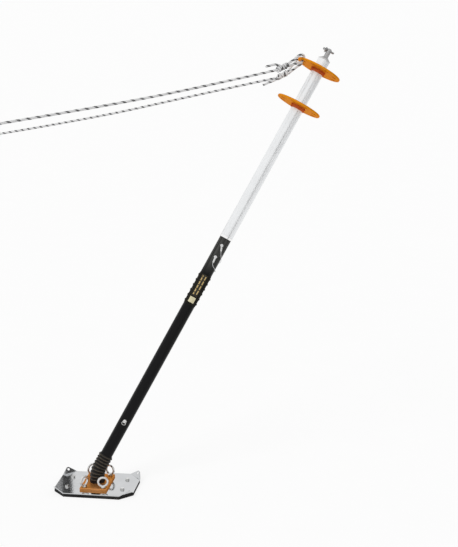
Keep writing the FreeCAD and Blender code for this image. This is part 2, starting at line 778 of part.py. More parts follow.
def make_tubes():
    lower = sleeve("lower_tube_wall", LOWER_BORE, "tube_radius", TUBE_START, "lower_top")
    holes = [
        cross_hole("lower_foot_hole", FOOT_PIN_HOLE, "foot_pin_height"),
        cross_hole("lower_low_hole", PIN_HOLE, PIN_LOW),
        cross_hole("lower_high_hole", PIN_HOLE, PIN_HIGH),
        anchor_hole("lower_anchor_hole_1", "anchor_one_drop"),
        anchor_hole("lower_anchor_hole_2", "anchor_two_drop"),
    ]
    node(put(cut("lower_tube", lower, holes), MAST))
    upper = sleeve("upper_tube_wall", UPPER_BORE, "upper_radius", UPPER_START, UPPER_TOP)
    depth = "(upper_radius - coupler_bore)"
    wall_cuts = [
        rivet_hole("upper_rivet_hole_1", RIVET_LOW, depth),
        rivet_hole("upper_rivet_hole_2", RIVET_HIGH, depth),
    ]
    node(put(cut("upper_tube", upper, wall_cuts), MAST))
    small = f"({LOWER_BORE} - slip_fit)"
    barrel = turned("coupler_barrel", [
        ("coupler_bore", COUPLER_START), (f"{small} - lead_in", COUPLER_START),
        (small, f"{COUPLER_START} + 2 * lead_in"), (small, UPPER_START), (UPPER_BORE, UPPER_START),
        (UPPER_BORE, COUPLER_END), ("coupler_bore", COUPLER_END),
    ])
    bores = [
        cross_hole("coupler_low_hole", PIN_HOLE, PIN_LOW),
        cross_hole("coupler_high_hole", PIN_HOLE, PIN_HIGH),
        rivet_hole("coupler_rivet_hole_1", RIVET_LOW, depth),
        rivet_hole("coupler_rivet_hole_2", RIVET_HIGH, depth),
    ]
    node(put(cut("coupler", barrel, bores), MAST))
    rivets = [
        rivet_hole("coupler_rivet_1", RIVET_LOW, depth),
        rivet_hole("coupler_rivet_2", RIVET_HIGH, depth),
    ]
    node(put(group("coupler_rivets", rivets), MAST))
    outer = "(upper_radius + ring_proud)"
    node(put(turned("joint_ring", [
        (small, "lower_top"), (f"{outer} - edge_break", "lower_top"), (outer, "lower_top + edge_break"),
        (outer, f"{UPPER_START} - edge_break"), (f"{outer} - edge_break", UPPER_START),
        (small, UPPER_START),
    ]), MAST))


# Ribbed grip with its label plate and tag
def make_grip():
    valley = "(tube_radius + grip_valley)"
    crest = "(tube_radius + grip_crest)"
    count = int(value("grip_ribs"))
    profile = [("tube_radius", GRIP_START), (valley, GRIP_START)]
    for index in range(count):
        middle = f"{GRIP_START} + grip_long * {2 * index + 1} / {2 * count}"
        foot = "rib_width / 2"
        profile += [(valley, f"{middle} - {foot}"), (crest, f"{middle} - {foot} / 2"),
                    (crest, f"{middle} + {foot} / 2"), (valley, f"{middle} + {foot}")]
    profile += [(valley, f"{GRIP_START} + grip_long"), ("tube_radius", f"{GRIP_START} + grip_long")]
    node(put(turned("grip_sleeve", profile), MAST))
    plates = (("label_plate", "label_rise", "label_long"), ("tag_plate", "tag_rise", "tag_long"))
    for name, rise, length in plates:
        start = f"{GRIP_START} + {rise}"
        outside = cylinder(name + "_outside", f"{crest} + label_thick", length, ("0", "0", start),
                           turn="-1 * label_arc / 2")
        inside = cylinder(name + "_inside", crest, length, ("0", "0", start), turn="-1 * label_arc / 2")
        for piece in (outside, inside):
            piece.setExpression("Angle", link("label_arc"))
        node(put(cut(name, outside, [inside]), MAST))


# Tubes along a route of straight runs joined by tangent arcs
RADII = {}


def route_wire(name, points):
    """A path of runs and arcs, each arc 0.45 of its shorter run over the tangent of half the turn."""
    places = [Vector(*point) for point in points]
    edges = []
    radii = []
    start = places[0]
    for before, corner, after in zip(places, places[1:], places[2:]):
        back = before - corner
        ahead = after - corner
        half_turn = (math.pi - back.getAngle(ahead)) / 2
        reach = 0.45 * min(back.Length, ahead.Length)
        back.normalize()
        ahead.normalize()
        first = corner + back * reach
        last = corner + ahead * reach
        radius = reach / math.tan(half_turn)
        inward = back + ahead
        inward.normalize()
        middle = corner + inward * (radius / math.cos(half_turn) - radius)
        edges.append(Part.LineSegment(start, first).toShape())
        edges.append(Part.Arc(first, middle, last).toShape())
        start = last
        radii.append(radius)
    edges.append(Part.LineSegment(start, places[-1]).toShape())
    RADII[name] = radii
    return Part.Wire(edges)


def tube_along(name, points, radius):
    """A round cord along a route, its volume held against section times length."""
    path = route_wire(name, points)
    first = Vector(*points[0])
    direction = Vector(*points[1]) - first
    profile = Part.Wire([Part.Circle(first, direction, radius).toShape()])
    solid = path.makePipeShell([profile], True, False)
    expected = math.pi * radius ** 2 * path.Length
    if abs(solid.Volume / expected - 1) > 0.01:
        raise ValueError(f"{name}: the tube's volume isn't its section times its length")
    return solid


def feature(name, shape, frame=FLOOR):
    """A piece whose shape is made with plain geometry."""
    piece = doc.addObject("Part::Feature", name)
    piece.Shape = shape
    return put(piece, frame)


# Ball lock pins through the coupler, with their buttons, springs, balls and lanyards. The lanyards run
# from the handles' ends round the tube to their anchors: front, side and height over the lower pin
LANYARDS = {
    1: [(40, 11.26, 37.14), (40, 14.6, 28.8), (35, 23.5, 15), (22, 31.5, 3), (6.3, 34.8, -6),
        (-10.4, 33.8, -15), (-21.6, 25.74, -25), (-21.6, 25.74, -40.95)],
    2: [(40, 3.14, -29.89), (40, 4.1, -38.8), (37.5, 12, -47), (31, 22, -53), (18, 31, -59), (4, 35.2, -63),
        (-10.4, 33.8, -66), (-21.6, 25.74, -69), (-21.6, 25.74, -82.95)],
}


def make_coupler_pins():
    solid_tip = "-1 * (tube_radius + pin_tip)"
    ball_place = "-1 * (tube_radius + ball_depth)"
    seat = "(tube_radius + end_play)"
    button_rest = "(pin_boss_top + button_travel)"
    bore = "(spindle_radius + slip_fit)"
    well = "(chamber_radius + slip_fit)"
    cap_well = "(button_radius + slip_fit)"
    well_floor = "(pin_boss_top - button_thick - button_travel)"
    collar_top = f"({seat} + pin_collar)"
    spindle_end = f"({solid_tip} + spindle_inset)"
    cap_under = f"({button_rest} - button_thick)"
    flange_under = f"({cap_under} - button_collar)"
    for index, height, turn in ((1, PIN_HIGH, "handle_one_turn"), (2, PIN_LOW, "handle_two_turn")):
        place = f"{MAST} * {frame_at(z=height, pitch='90')} * {frame_at(yaw=turn)}"
        shank = turned(f"pin_shank_{index}", [
            (bore, solid_tip), ("pin_radius - edge_break", solid_tip),
            ("pin_radius", f"{solid_tip} + edge_break"), ("pin_radius", seat), ("pin_shoulder", seat),
            ("pin_shoulder", collar_top), ("pin_boss", f"{collar_top} + pin_collar_slope"),
            ("pin_boss", "pin_boss_top"), (cap_well, "pin_boss_top"), (cap_well, well_floor),
            (well, well_floor), (well, "chamber_start"), (bore, "chamber_start"),
        ])
        bar = cylinder(f"pin_bar_{index}", "handle_radius", "handle_long", ("0", "0", "handle_out"), "X")
        throat = cylinder(f"pin_throat_{index}", cap_well, "pin_boss_top", ("0", "0", "chamber_start"))
        ball_bore = cylinder(f"pin_ball_bore_{index}", "ball_radius + slip_fit / 2", "4 * pin_radius",
                             ("0", "-2 * pin_radius", ball_place), "Y")
        pin = fused(f"pin_solid_{index}", [shank, cut(f"pin_bar_cut_{index}", bar, [throat])])
        node(put(cut(f"coupler_pin_{index}", pin, [ball_bore]), place))
        centre = "(pin_radius + ball_proud - ball_radius)"
        balls = []
        for side, sign in (("a", "-1"), ("b", "1")):
            ball = doc.addObject("Part::Sphere", f"lock_ball_{index}_{side}")
            ball.setExpression("Radius", link("ball_radius"))
            balls.append(put(ball, at=("0", f"{sign} * {centre}", ball_place)))
        node(put(group(f"lock_balls_{index}", balls), place))
        button = turned(f"pin_button_{index}", [
            ("0", spindle_end), ("spindle_radius", spindle_end), ("spindle_radius", flange_under),
            ("chamber_radius", flange_under), ("chamber_radius", cap_under), ("button_radius", cap_under),
            ("button_radius", f"{button_rest} - button_edge"), ("button_radius - button_edge", button_rest),
            ("0", button_rest),
        ])
        node(put(button, place))
        spring_top = f"({flange_under} - slip_fit)"
        spring = sleeve(f"button_spring_{index}", "spindle_radius + 2 * slip_fit",
                        "chamber_radius - 2 * slip_fit", "chamber_start", spring_top)
        node(put(spring, place))
    for index, points in LANYARDS.items():
        name = f"lanyard_{index}"
        places = [(front, side, value(PIN_LOW) + rise) for front, side, rise in points]
        node(feature(name, tube_along(name, places, value("lanyard_radius")), MAST))
    anchors = []
    for index, drop in ((1, "anchor_one_drop"), (2, "anchor_two_drop")):
        middle = "(tube_radius + anchor_radius)"
        bottom = f"({PIN_LOW} - {drop} - anchor_long)"
        stub = cylinder(f"anchor_stub_{index}", "anchor_radius", "anchor_long", (middle, "0", bottom),
                        turn="anchor_turn")
        rivet = cylinder(f"anchor_rivet_{index}", "anchor_rivet", f"{middle} - {LOWER_BORE}",
                         (LOWER_BORE, "0", f"{bottom} + anchor_long / 2"), "X", turn="anchor_turn")
        anchors.append(fused(f"lanyard_anchor_{index}", [stub, rivet]))
    node(put(group("lanyard_anchors", anchors), MAST))


# Detent pins of the foot and the head, each with a split ring in its lug
def lug(name, start, across):
    """A flat lug with a hole at a pin's outer end: thin along one axis."""
    thin, wide = "lug_thick", "lug_width"
    length, width = (thin, wide) if across == "X" else (wide, thin)
    foot = ("0", "0", f"{start} - edge_break")
    plate = block(name + "_plate", length, width, "lug_long + edge_break", foot)
    middle = f"{start} + lug_long / 2"
    start_place = ("-1 * lug_thick", "0", middle) if across == "X" else ("0", "-1 * lug_thick", middle)
    hole = cylinder(name + "_hole", LUG_HOLE, "2 * lug_thick", start_place, across)
    return plate, hole


def hanging(name, hole, along):
    """A split ring that hangs straight down from a lug hole on the leaning mast."""
    if along == "X":
        hinge = frame_at(*hole, pitch="atan(-1 * tan(lean) * cos(front_turn))")
    else:
        hinge = frame_at(*hole, roll="atan(-1 * tan(lean) * sin(front_turn))")
    middle = ("0", "0", "-1 * link_radius")
    return ring(name, "link_radius", "link_wire", middle, f"{MAST} * {hinge}", along=along)


def make_foot_pin():
    seat = "(tube_radius + end_play)"
    head_top = f"({seat} + foot_pin_head_thick)"
    place = dict(frame=MAST, at=("0", "0", "foot_pin_height"), along="X")
    tip = "-1 * (tube_radius + pin_tip)"
    shank = turned("foot_pin_shank", [
        ("0", tip), ("foot_pin_radius - lead_in", tip), ("foot_pin_radius", f"{tip} + lead_in"),
        ("foot_pin_radius", seat), ("foot_pin_head", seat), ("foot_pin_head", f"{head_top} - edge_break"),
        ("foot_pin_head - edge_break", head_top), ("0", head_top),
    ])
    plate, hole = lug("foot_lug", head_top, "Y")
    node(put(cut("foot_pin", fused("foot_pin_solid", [shank, plate]), [hole]), **place))
    hole_out = f"{head_top} + lug_long / 2"
    node(hanging("foot_pin_ring", (hole_out, "0", "foot_pin_height"), "X"))


def make_head():
    lip_top = f"({UPPER_TOP} + cap_lip)"
    cone_top = f"({lip_top} + cap_cone)"
    post_top = f"({UPPER_TOP} + post_tall)"
    plug_end = f"({UPPER_TOP} - cap_plug)"
    cap = turned("cap_body", [
        ("0", plug_end), (f"{UPPER_BORE} - edge_break", plug_end), (UPPER_BORE, f"{plug_end} + edge_break"),
        (UPPER_BORE, UPPER_TOP), ("upper_radius", UPPER_TOP), ("upper_radius", f"{lip_top} - edge_break"),
        ("upper_radius - edge_break", lip_top), ("post_foot", cone_top),
        ("post_radius", f"{cone_top} + post_foot_tall"), ("post_radius", f"{post_top} - post_dome"),
        ("post_radius - post_dome_inset", f"{post_top} - edge_break"), ("0", post_top),
    ])
    hole = cylinder("post_hole", "head_pin_radius + slip_fit", "4 * post_radius",
                    ("0", "-2 * post_radius", HEAD_PIN), "Y")
    node(put(cut("head_cap", cap, [hole]), MAST))
    place = dict(frame=MAST, at=("0", "0", HEAD_PIN), along="-Y")
    seat = "(post_radius + end_play)"
    grip_top = f"({seat} + head_grip_long)"
    tip = "-1 * head_pin_reach"
    shank = turned("head_pin_shank", [
        ("0", tip), ("head_pin_radius - lead_in", tip), ("head_pin_radius", f"{tip} + lead_in"),
        ("head_pin_radius", seat), ("head_grip_radius - lead_in", seat),
        ("head_grip_radius", f"{seat} + lead_in"), ("head_grip_radius", f"{grip_top} - lead_in"),
        ("head_grip_radius - lead_in", grip_top), ("0", grip_top),
    ])
    plate, hole = lug("head_lug", grip_top, "X")
    node(put(cut("head_pin", fused("head_pin_solid", [shank, plate]), [hole]), **place))
    hole_out = f"-1 * ({grip_top} + lug_long / 2)"
    node(hanging("head_pin_ring", ("0", hole_out, HEAD_PIN), "Y"))


# Guy discs, each on a flanged bush between a clamp collar and a clip
def make_discs():
    clips = []
    screws = []
    for which, height in (("lower", LOWER_DISC), ("upper", UPPER_DISC)):
        bottom = f"({height} - disc_thick / 2)"
        top = f"({height} + disc_thick / 2)"
        flange_low = f"({bottom} - disc_bush_flange_thick)"
        slab = turned(f"{which}_disc_slab", [
            (DISC_BORE, bottom), ("disc_radius - disc_edge", bottom),
            ("disc_radius", f"{bottom} + disc_edge"), ("disc_radius", f"{top} - disc_edge"),
            ("disc_radius - disc_edge", top), (DISC_BORE, top),
        ])
        count = int(value("disc_holes"))
        holes = []
        for index in range(count):
            bearing = 360 * (index + 0.5) / count
            holes.append(cylinder(f"{which}_disc_hole_{index}", "disc_hole", "3 * disc_thick",
                                  ("disc_hole_circle", "0", f"{bottom} - disc_thick"), turn=str(bearing)))
        node(put(cut(f"{which}_disc", slab, holes), MAST))
        bore = "(upper_radius + run_fit)"
        node(put(turned(f"{which}_disc_bush", [
            (bore, flange_low), ("disc_bush_flange", flange_low), ("disc_bush_flange", bottom),
            (DISC_BORE, bottom), (DISC_BORE, top), (bore, top),
        ]), MAST))
        collar_top = f"({flange_low} - end_play)"
        collar_bottom = f"({collar_top} - collar_tall)"
        collar = turned(f"{which}_collar_body", [
            ("upper_radius", collar_bottom), ("collar_radius - collar_edge", collar_bottom),
            ("collar_radius", f"{collar_bottom} + collar_edge"), ("collar_radius", collar_top),
            ("upper_radius", collar_top),
        ])
        middle = f"({collar_top} - collar_tall / 2)"
        well = cylinder(f"{which}_collar_well", "collar_screw", "collar_radius",
                        ("upper_radius", "0", middle), "X", turn="180")
        node(put(cut(f"{which}_disc_collar", collar, [well]), MAST))
        screws.append(cylinder(f"{which}_collar_screw", "collar_screw",
                               "collar_radius - upper_radius - collar_screw_inset",
                               ("upper_radius", "0", middle), "X", turn="180"))
        clips.append(sleeve(f"{which}_disc_clip", "upper_radius", "disc_clip_radius", f"{top} + end_play",
                            f"{top} + end_play + disc_clip_thick"))
    node(put(group("collar_screws", screws), MAST))
    node(put(group("disc_clips", clips), MAST))


# Guy ropes from the upper disc's middle, along the floor's axes: taut stretch, knot with its bight
# through the disc and its tail, end loop
GUYS = {
    1: {
        "rope": [(-198.1, -136.8, 6.7), (-579.1, -436.8, -66.3), (-963.1, -755.8, -123.3),
                 (-1338.1, -1091.8, -167.3)],
        "knot": [(-146.1, -93.8, 28.7), (-198.1, -136.8, 6.7)],
        "bight": [(-145.1, -91.8, 22.7), (-98.7, -53.1, 36.9), (-81, -41.9, 39.4), (-67.9, -34.3, 64.1),
                  (-78.6, -40.7, 79.4), (-95, -53.3, 74.9), (-125.1, -76.8, 47.7), (-147.1, -93.8, 34.7)],
        "tail": [(-173.1, -120.8, 23.7), (-196.1, -134.8, 33.7), (-224.1, -154.8, 32.7),
                 (-246.1, -172.8, 24.7)],
    },
    2: {
        "rope": [(-216.1, 57.2, -47.3), (-680.1, 171.2, -157.3), (-1220.1, 289.2, -291.3),
                 (-1842.1, 418.2, -411.3)],
        "knot": [(-157.1, 45.2, -18.3), (-216.1, 57.2, -47.3)],
        "bight": [(-155.1, 42.2, -23.3), (-112.5, 33.4, 11.9), (-91.7, 30.8, 22.7), (-78.6, 38.4, 47.5),
                  (-91.5, 47.5, 59.2), (-109, 51.2, 49.2), (-138.1, 50.2, 14.7), (-159.1, 48.2, -13.3)],
        "tail": [(-192.1, 43.2, -38.3), (-223.1, 48.2, -58.3), (-254.1, 55.2, -70.3),
                 (-284.1, 62.2, -83.3)],
    },
}
KNOT_SHAPE = [(0, "knot_neck"), (0.12, "knot_radius"), (0.38, "knot_radius"), (0.5, "knot_waist"),
              (0.62, "knot_radius"), (0.88, "knot_radius"), (1, "knot_neck")]
END_LOOP = [(-2, 6), (30, 17), (58, 16), (58, -16), (30, -17), (-2, -6)]
END_KNOT_LONG = 46


def knot_barrel(start, end, leaving):
    """The body of a knot between two points, its last face square to the rope that leaves it."""
    axis = end - start
    hoops = [
        Part.Wire([Part.Circle(start + axis * share, axis, value(radius)).toShape()])
        for share, radius in KNOT_SHAPE[:-1]
    ]
    hoops.append(Part.Wire([Part.Circle(end, leaving, value(KNOT_SHAPE[-1][1])).toShape()]))
    return Part.makeLoft(hoops, True, True)


def disc_middle():
    """The upper disc's middle in the floor's frame."""
    lean = math.radians(value("lean"))
    heading = math.radians(value("heading"))
    axis = Vector(math.sin(lean) * math.cos(heading), math.sin(lean) * math.sin(heading), math.cos(lean))
    return Vector(0, 0, value("pivot_height")) + axis * value(UPPER_DISC)


def make_guys():
    radius = value("rope_radius")
    middle = disc_middle()
    ends = []
    for index, offsets in GUYS.items():
        guy = {part: [middle + Vector(*point) for point in points] for part, points in offsets.items()}
        node(feature(f"guy_rope_{index}", tube_along(f"guy_rope_{index}", guy["rope"], radius)))
        start, end = guy["knot"]
        knot = knot_barrel(start, end, guy["rope"][1] - end)
        knot = knot.fuse(tube_along(f"bight_{index}", guy["bight"], radius))
        knot = knot.fuse(tube_along(f"tail_{index}", guy["tail"], radius))
        node(feature(f"guy_knot_{index}", knot.removeSplitter()))
        last, near = guy["rope"][-1], guy["rope"][-2]
        along = last - near
        along.normalize()
        side = along.cross(Vector(0, 0, 1))
        side.normalize()
        rise = side.cross(along)
        tip = last + along * END_KNOT_LONG
        loop = [tuple(tip + along * out + rise * up) for out, up in END_LOOP]
        shape = knot_barrel(last, tip, along).fuse(tube_along(f"end_loop_{index}", loop, radius))
        ends.append(feature(f"guy_end_{index}", shape.removeSplitter()))
    node(group("guy_ends", ends))


make_sole()
make_plate()
make_plate_screws()
make_block()
make_eyes()
make_turret()
make_hinge()
make_knuckle()
make_boot()
make_tubes()
make_grip()
make_coupler_pins()
make_foot_pin()
make_head()
make_discs()
make_guys()
doc.recompute()

# Every object is checked before anything is written
for item in doc.Objects:
    if "Invalid" in item.State or "Error" in item.State:
        raise RuntimeError(f"{item.Label} failed: {item.State}")
for piece in NODES:
    if piece.Shape.isNull() or not piece.Shape.isValid() or not piece.Shape.Solids:
        raise RuntimeError(f"{piece.Label} has no valid solid")
for name, radii in RADII.items():
    print(name, "bend radii", " ".join(f"{radius:.0f}" for radius in radii))

os.makedirs("parts", exist_ok=True)
for piece in NODES:
    piece.Shape.exportStep(os.path.join("parts", piece.Label + ".step"))
print(len(NODES), "nodes written")
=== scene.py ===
import json
import math

import bmesh
import bpy
from mathutils import Euler, Matrix, Vector


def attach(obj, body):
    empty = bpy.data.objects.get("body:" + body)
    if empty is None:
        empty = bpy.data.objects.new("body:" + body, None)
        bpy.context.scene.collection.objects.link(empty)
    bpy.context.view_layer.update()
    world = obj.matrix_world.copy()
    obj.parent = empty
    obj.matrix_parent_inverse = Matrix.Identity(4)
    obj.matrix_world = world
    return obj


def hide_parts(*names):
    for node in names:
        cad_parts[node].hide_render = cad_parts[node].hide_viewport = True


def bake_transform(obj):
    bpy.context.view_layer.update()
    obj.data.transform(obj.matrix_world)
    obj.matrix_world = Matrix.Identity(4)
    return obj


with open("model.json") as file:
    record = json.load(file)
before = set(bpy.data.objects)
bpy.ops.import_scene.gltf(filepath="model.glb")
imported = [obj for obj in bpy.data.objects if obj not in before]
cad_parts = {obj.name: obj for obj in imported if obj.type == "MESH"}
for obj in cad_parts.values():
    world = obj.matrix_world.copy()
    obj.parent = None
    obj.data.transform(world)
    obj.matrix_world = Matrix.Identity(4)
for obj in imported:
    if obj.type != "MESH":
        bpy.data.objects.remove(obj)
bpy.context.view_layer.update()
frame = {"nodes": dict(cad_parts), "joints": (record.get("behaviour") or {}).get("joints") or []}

JOINTS = {joint["name"]: joint for joint in frame["joints"]}

# The mast's own frame, read from the joints: X to its front, Z along it, origin at the foot hinge
PIVOT = Vector(JOINTS["foot_lean"]["pos_m"])
MAST_AXIS = Vector(JOINTS["lower_disc_turn"]["axis"]).normalized()
MAST_FRONT = Vector(JOINTS["foot_pin_pull"]["axis"]).normalized()
MAST_SIDE = MAST_AXIS.cross(MAST_FRONT)
DISC_MIDDLE = Vector(JOINTS["upper_disc_turn"]["pos_m"])
MAST_TURN = Matrix((MAST_FRONT, MAST_SIDE, MAST_AXIS)).transposed()
MAST = Matrix.Translation(PIVOT) @ MAST_TURN.to_4x4()
UP = Vector((0, 0, 1))


def on_mast(x, y, z):
    """A point given in the mast's own frame, in metres."""
    return MAST @ Vector((x, y, z))


# Camera at the photograph's viewing angle: place and reach in metres, turns in degrees, lens in mm
CAMERA_PLACE = (1.426, -5.693, 2.513)
CAMERA_DOWN = 13.6
CAMERA_TURN = 7.61
CAMERA_FAR = 3000
LENS = 82.05


def make_camera():
    data = bpy.data.cameras.new("camera")
    data.lens = LENS
    data.clip_end = CAMERA_FAR
    camera = bpy.data.objects.new("camera", data)
    camera.location = CAMERA_PLACE
    camera.rotation_euler = Euler(
        (math.radians(90 - CAMERA_DOWN), 0, math.radians(CAMERA_TURN)))
    bpy.context.scene.collection.objects.link(camera)
    bpy.context.scene.camera = camera


make_camera()


# Curves, tubes and other mesh helpers
ROUTE_DETAIL = 24
CAP_SHARES = (0.35, 0.7)
CAP_RISE = 0.6


def link(obj):
    """Put a new object into the scene."""
    bpy.context.scene.collection.objects.link(obj)
    return obj


def route_points(name, points):
    """The points of a smooth NURBS line through a route's control points."""
    curve = bpy.data.curves.new(name + "_route", "CURVE")
    curve.dimensions = "3D"
    spline = curve.splines.new("NURBS")
    spline.points.add(len(points) - 1)
    for point, place in zip(spline.points, points):
        point.co = (*place, 1)
    spline.order_u = 3
    spline.use_endpoint_u = True
    spline.resolution_u = ROUTE_DETAIL
    route = link(bpy.data.objects.new(name + "_route", curve))
    mesh = bpy.data.meshes.new_from_object(route)
    found = [vertex.co.copy() for vertex in mesh.vertices]
    bpy.data.objects.remove(route)
    bpy.data.meshes.remove(mesh)
    return found


def even(points, step):
    """The same line with its points a steady step apart."""
    ends = [0.0]
    for before, after in zip(points, points[1:]):
        ends.append(ends[-1] + (after - before).length)
    count = max(2, round(ends[-1] / step))
    found = []
    at = 0
    for index in range(count + 1):
        goal = ends[-1] * index / count
        while at < len(points) - 2 and ends[at + 1] < goal:
            at += 1
        share = (goal - ends[at]) / max(ends[at + 1] - ends[at], 1e-9)
        found.append(points[at].lerp(points[at + 1], min(max(share, 0), 1)))
    return found


def rings_along(points):
    """A steady pair of side directions at each point of a line."""
    tangents = []
    for index in range(len(points)):
        before = points[max(index - 1, 0)]
        after = points[min(index + 1, len(points) - 1)]
        tangents.append((after - before).normalized())
    side = tangents[0].orthogonal().normalized()
    found = []
    for tangent in tangents:
        side = (side - tangent * side.dot(tangent)).normalized()
        found.append((side, tangent.cross(side)))
    return found


def tube_mesh(name, points, radius, sides, swell=None, rounded=True):
    """A closed tube along points, with U round it and V its length in metres."""
    mesh = bpy.data.meshes.new(name)
    build = bmesh.new()
    uv = build.loops.layers.uv.new("UVMap")
    length = 0.0
    rows = []
    lengths = []
    for index, (place, (across, over)) in enumerate(zip(points, rings_along(points))):
        if index:
            length += (place - points[index - 1]).length
        lengths.append(length)
        row = []
        for step in range(sides):
            turn = 2 * math.pi * step / sides
            grow = swell(step / sides, length) if swell else 1.0
            outward = across * math.cos(turn) + over * math.sin(turn)
            row.append(build.verts.new(place + outward * radius * grow))
        rows.append(row)
    for index, (row, later) in enumerate(zip(rows, rows[1:])):
        for step in range(sides):
            following = (step + 1) % sides
            face = build.faces.new((row[step], row[following], later[following], later[step]))
            face.smooth = True
            around = (step, step + 1, step + 1, step)
            along = (lengths[index], lengths[index], lengths[index + 1], lengths[index + 1])
            for loop, u, v in zip(face.loops, around, along):
                loop[uv].uv = (u / sides, v)
    for row, end, inner in ((rows[0], points[0], points[1]), (rows[-1], points[-1], points[-2])):
        outward = (end - inner).normalized()
        last = row
        if rounded:
            for share in CAP_SHARES:
                size = math.sqrt(1 - share ** 2)
                rise = outward * radius * share * CAP_RISE
                cap = [build.verts.new(end + (vert.co - end) * size + rise) for vert in row]
                for step in range(sides):
                    following = (step + 1) % sides
                    corners = (last[step], last[following], cap[following], cap[step])
                    build.faces.new(corners).smooth = True
                last = cap
        build.faces.new(last)
    bmesh.ops.recalc_face_normals(build, faces=build.faces)
    build.to_mesh(mesh)
    build.free()
    return mesh


def piece(name, mesh, material, body=None):
    """A new piece with its material, riding a body if one is named."""
    obj = link(bpy.data.objects.new(name, mesh))
    if not mesh.materials:
        mesh.materials.append(material)
    if body:
        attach(obj, body)
    return obj


# Node helpers for procedural materials; an edge is where the rounded normal leaves the true one
EDGE_SAMPLES = 4
EDGE_FACING = (0.86, 0.99)


class Shader:
    """A material being built round one Principled shader."""

    def __init__(self, name, **constants):
        self.material = bpy.data.materials.new(name)
        self.material.use_nodes = True
        self.tree = self.material.node_tree
        self.surface = self.tree.nodes["Principled BSDF"]
        for key, setting in constants.items():
            self.surface.inputs[key.replace("_", " ")].default_value = setting

    def add(self, kind, **settings):
        made = self.tree.nodes.new(kind)
        for key, setting in settings.items():
            setattr(made, key, setting)
        return made

    def wire(self, source, target):
        self.tree.links.new(source, target)

    def place(self, scale=(1, 1, 1), mast=False):
        """The piece's own coordinates in metres, scaled, along the row's or the mast's axes."""
        where = self.add("ShaderNodeTexCoord").outputs["Object"]
        if mast:
            turn = self.add("ShaderNodeMapping", vector_type="TEXTURE")
            turn.inputs["Location"].default_value = PIVOT
            turn.inputs["Rotation"].default_value = MAST.to_euler()
            self.wire(where, turn.inputs["Vector"])
            where = turn.outputs["Vector"]
        stretch = self.add("ShaderNodeMapping")
        stretch.inputs["Scale"].default_value = scale
        self.wire(where, stretch.inputs["Vector"])
        return stretch.outputs["Vector"]

    def axes(self, vector):
        """The X, Y and Z sockets of a vector, by name."""
        split = self.add("ShaderNodeSeparateXYZ")
        self.wire(vector, split.inputs["Vector"])
        return split.outputs

    def noise(self, vector, scale, detail=4.0, rough=0.55):
        made = self.add("ShaderNodeTexNoise")
        made.inputs["Scale"].default_value = scale
        made.inputs["Detail"].default_value = detail
        made.inputs["Roughness"].default_value = rough
        self.wire(vector, made.inputs["Vector"])
        return made.outputs["Fac"]

    def ramp(self, factor, low, high, start=0.3, end=0.7):
        made = self.add("ShaderNodeValToRGB")
        made.color_ramp.elements[0].position = start
        made.color_ramp.elements[1].position = end
        made.color_ramp.elements[0].color = (*low, 1)
        made.color_ramp.elements[1].color = (*high, 1)
        self.wire(factor, made.inputs["Fac"])
        return made.outputs["Color"]

    def spread(self, factor, low, high, start=0.3, end=0.7):
        made = self.add("ShaderNodeMapRange")
        made.inputs["From Min"].default_value = start
        made.inputs["From Max"].default_value = end
        made.inputs["To Min"].default_value = low
        made.inputs["To Max"].default_value = high
        self.wire(factor, made.inputs["Value"])
        return made.outputs["Result"]

    def sums(self, operation, first, second=None):
        made = self.add("ShaderNodeMath", operation=operation)
        for socket, source in zip(made.inputs, (first, second)):
            if isinstance(source, (int, float)):
                socket.default_value = source
            elif source is not None:
                self.wire(source, socket)
        return made.outputs["Value"]

    def mix(self, factor, first, second):
        """Two colours mixed; each is a socket or a plain colour."""
        made = self.add("ShaderNodeMix", data_type="RGBA")
        self.wire(factor, made.inputs["Factor"])
        for name, source in (("A", first), ("B", second)):
            socket = next(item for item in made.inputs
                          if item.name == name and item.type == "RGBA")
            if isinstance(source, tuple):
                socket.default_value = (*source, 1)
            else:
                self.wire(source, socket)
        return next(item for item in made.outputs if item.type == "RGBA")

    def soften(self, width):
        """Round the piece's sharp edges in its shading; returns a mask of those edges."""
        made = self.add("ShaderNodeBevel", samples=EDGE_SAMPLES)
        made.inputs["Radius"].default_value = width
        self.wire(made.outputs["Normal"], self.surface.inputs["Normal"])
        facing = self.add("ShaderNodeVectorMath", operation="DOT_PRODUCT")
        self.wire(made.outputs["Normal"], facing.inputs[0])
        self.wire(self.add("ShaderNodeNewGeometry").outputs["Normal"], facing.inputs[1])
        return self.spread(facing.outputs["Value"], 1.0, 0.0, *EDGE_FACING)

    def worn(self, edges, base, bare, share=0.7):
        """The base colour, rubbed towards a bare colour in patches along the edges."""
        patches = self.spread(self.noise(self.place(), 160.0, 5.0, 0.7), 0.15, 1.0, 0.4, 0.6)
        rubbed = self.sums("MULTIPLY", self.sums("MULTIPLY", edges, patches), share)
        return self.mix(rubbed, base, bare)

    def colour(self, source):
        self.wire(source, self.surface.inputs["Base Color"])

    def roughness(self, source):
        self.wire(source, self.surface.inputs["Roughness"])

    def bump(self, height, strength, distance):
        made = self.add("ShaderNodeBump")
        made.inputs["Strength"].default_value = strength
        made.inputs["Distance"].default_value = distance
        self.wire(height, made.inputs["Height"])
        if self.surface.inputs["Normal"].is_linked:
            self.wire(self.surface.inputs["Normal"].links[0].from_socket, made.inputs["Normal"])
        self.wire(made.outputs["Normal"], self.surface.inputs["Normal"])


